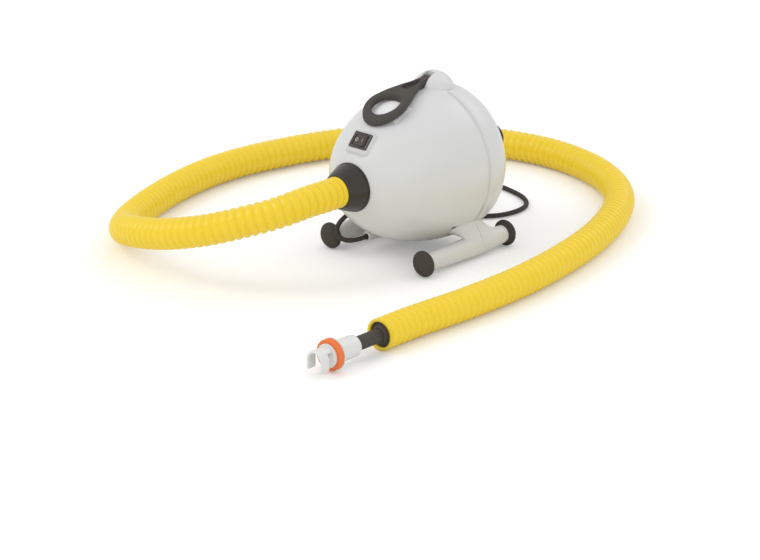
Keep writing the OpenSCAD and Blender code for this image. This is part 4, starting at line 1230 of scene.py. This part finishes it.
NODE_FINISH: dict[str, Finish] = {
    "front_shell": Finish.HOUSING, "rear_shell": Finish.HOUSING, "front_port_collar": Finish.TRIM,
    "rear_port_collar": Finish.TRIM, "intake_guard": Finish.GUARD, "intake_filter": Finish.FOAM,
    "carry_handle": Finish.TRIM, "foot_cap_front_left": Finish.FOOT, "foot_cap_front_right": Finish.FOOT,
    "foot_cap_rear_left": Finish.FOOT, "foot_cap_rear_right": Finish.FOOT, "shell_screws": Finish.STEEL,
    "switch_body": Finish.SWITCH, "switch_rocker": Finish.ROCKER, "switch_terminals": Finish.BRASS,
    "data_label": Finish.LABEL, "cord_gland": Finish.RUBBER, "inner_lead": Finish.LEAD,
    "terminal_block": Finish.BLOCK, "capacitor": Finish.FILM, "switch_leads": Finish.BROWN_WIRE,
    "motor_leads": Finish.BLUE_WIRE, "rear_mount_ring": Finish.RUBBER, "front_mount_ring": Finish.RUBBER,
    "fan_case": Finish.SHEET, "guide_vane_plate": Finish.FAN, "motor_rear_bracket": Finish.CAST,
    "motor_front_bracket": Finish.CAST, "motor_screws": Finish.STEEL, "stator_core": Finish.LAMINATION,
    "field_coils": Finish.COPPER, "brush_holders": Finish.BRASS, "carbon_brushes": Finish.CARBON,
    "brush_springs": Finish.SPRING, "front_bearing": Finish.STEEL, "rear_bearing": Finish.STEEL,
    "rotor_shaft": Finish.STEEL, "armature_core": Finish.LAMINATION, "armature_windings": Finish.COPPER,
    "commutator": Finish.COPPER, "impeller": Finish.FAN, "impeller_nut": Finish.STEEL,
    "mains_lead": Finish.LEAD, "lead_coil": Finish.LEAD, "plug_body": Finish.PLUG, "plug_pins": Finish.PIN,
    "hose": Finish.HOSE, "hose_cuff": Finish.TRIM, "nozzle_tube": Finish.TRIM,
    "valve_adapter": Finish.ADAPTER, "adapter_washer": Finish.ORANGE,
}


def main() -> None:
    """Builds the whole scene, sub-assembly by sub-assembly."""
    logging.basicConfig(level=logging.INFO, format="%(name)s %(message)s")
    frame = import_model()
    nodes = frame["nodes"]
    studio = Studio()
    studio.camera()
    studio.light()
    studio.floor()
    for name, finish in NODE_FINISH.items():
        dress(nodes[name], finish)
    seam = SEAM_Y / MM
    end = (212.5, -293, 21)
    adapter = Adapter().build()
    washer = Lathe(
        "adapter_washer", Finish.ORANGE, "washer_orange",
        [(14.45, 90.1), (19.0, 90.1), (19.8, 91.2), (19.8, 96.8), (19.0, 97.9), (14.45, 97.9)], end, (0, -1, 0), True, 0.9,
    ).build()
    cuff = Lathe(
        "hose_cuff", Finish.TRIM, "dark_trim",
        [(9, 0), (18.3, 0), (18.3, 2.2), (15.5, 3.2), (12.8, 3.2), (11.6, 6.5), (10.4, 8.5), (9, 8.5)], end, (0, -1, 0), True,
    ).build()
    tube = Lathe(
        "nozzle_tube", Finish.TRIM, "dark_trim", [(7, 0), (9, 0), (9, 74), (7, 74)], end, (0, -1, 0), True, 0.4,
    ).build()
    Hose().build([cuff, tube, adapter, washer])
    Lead().build([nodes[n] for n in ("plug_body", "plug_pins")])
    Lathe("front_port_collar", Finish.COLLAR, "dark_trim", collar_rows(32.3), (0, seam - 151.5, 114.5), (0, -1, 0), True, 0.5).build()
    Lathe("rear_port_collar", Finish.COLLAR, "dark_trim", collar_rows(28.3), (0, seam + 83.5, 114.5), (0, 1, 0), True, 0.5).build()
    for side, name in ((-1, "left"), (1, "right")):
        Lathe(f"foot_cap_front_{name}", Finish.FOOT, "foot_rubber", cap_rows(10.8), (side * 80.5, seam - 103, 17.3), (0, -1, 0)).build()
        Lathe(f"foot_cap_rear_{name}", Finish.FOOT, "foot_rubber", cap_rows(11.6), (side * 80.5, seam + 56, 17.3), (0, 1, 0)).build()
        Leg(side).build()
    Handle().build()
    Marks().build()
    for skin in (
        CadSkin("front_shell", "housing", Finish.HOUSING, "housing_grey", legs_apart=True),
        CadSkin("rear_shell", "housing", Finish.HOUSING, "housing_grey", legs_apart=True),
        CadSkin("switch_body", "housing", Finish.SWITCH, "switch_black", bevel=0.5),
        CadSkin("switch_rocker", "rocker", Finish.ROCKER, "rocker_brown", bevel=0.4),
    ):
        skin.build(nodes)


if __name__ == "__main__":
    main()
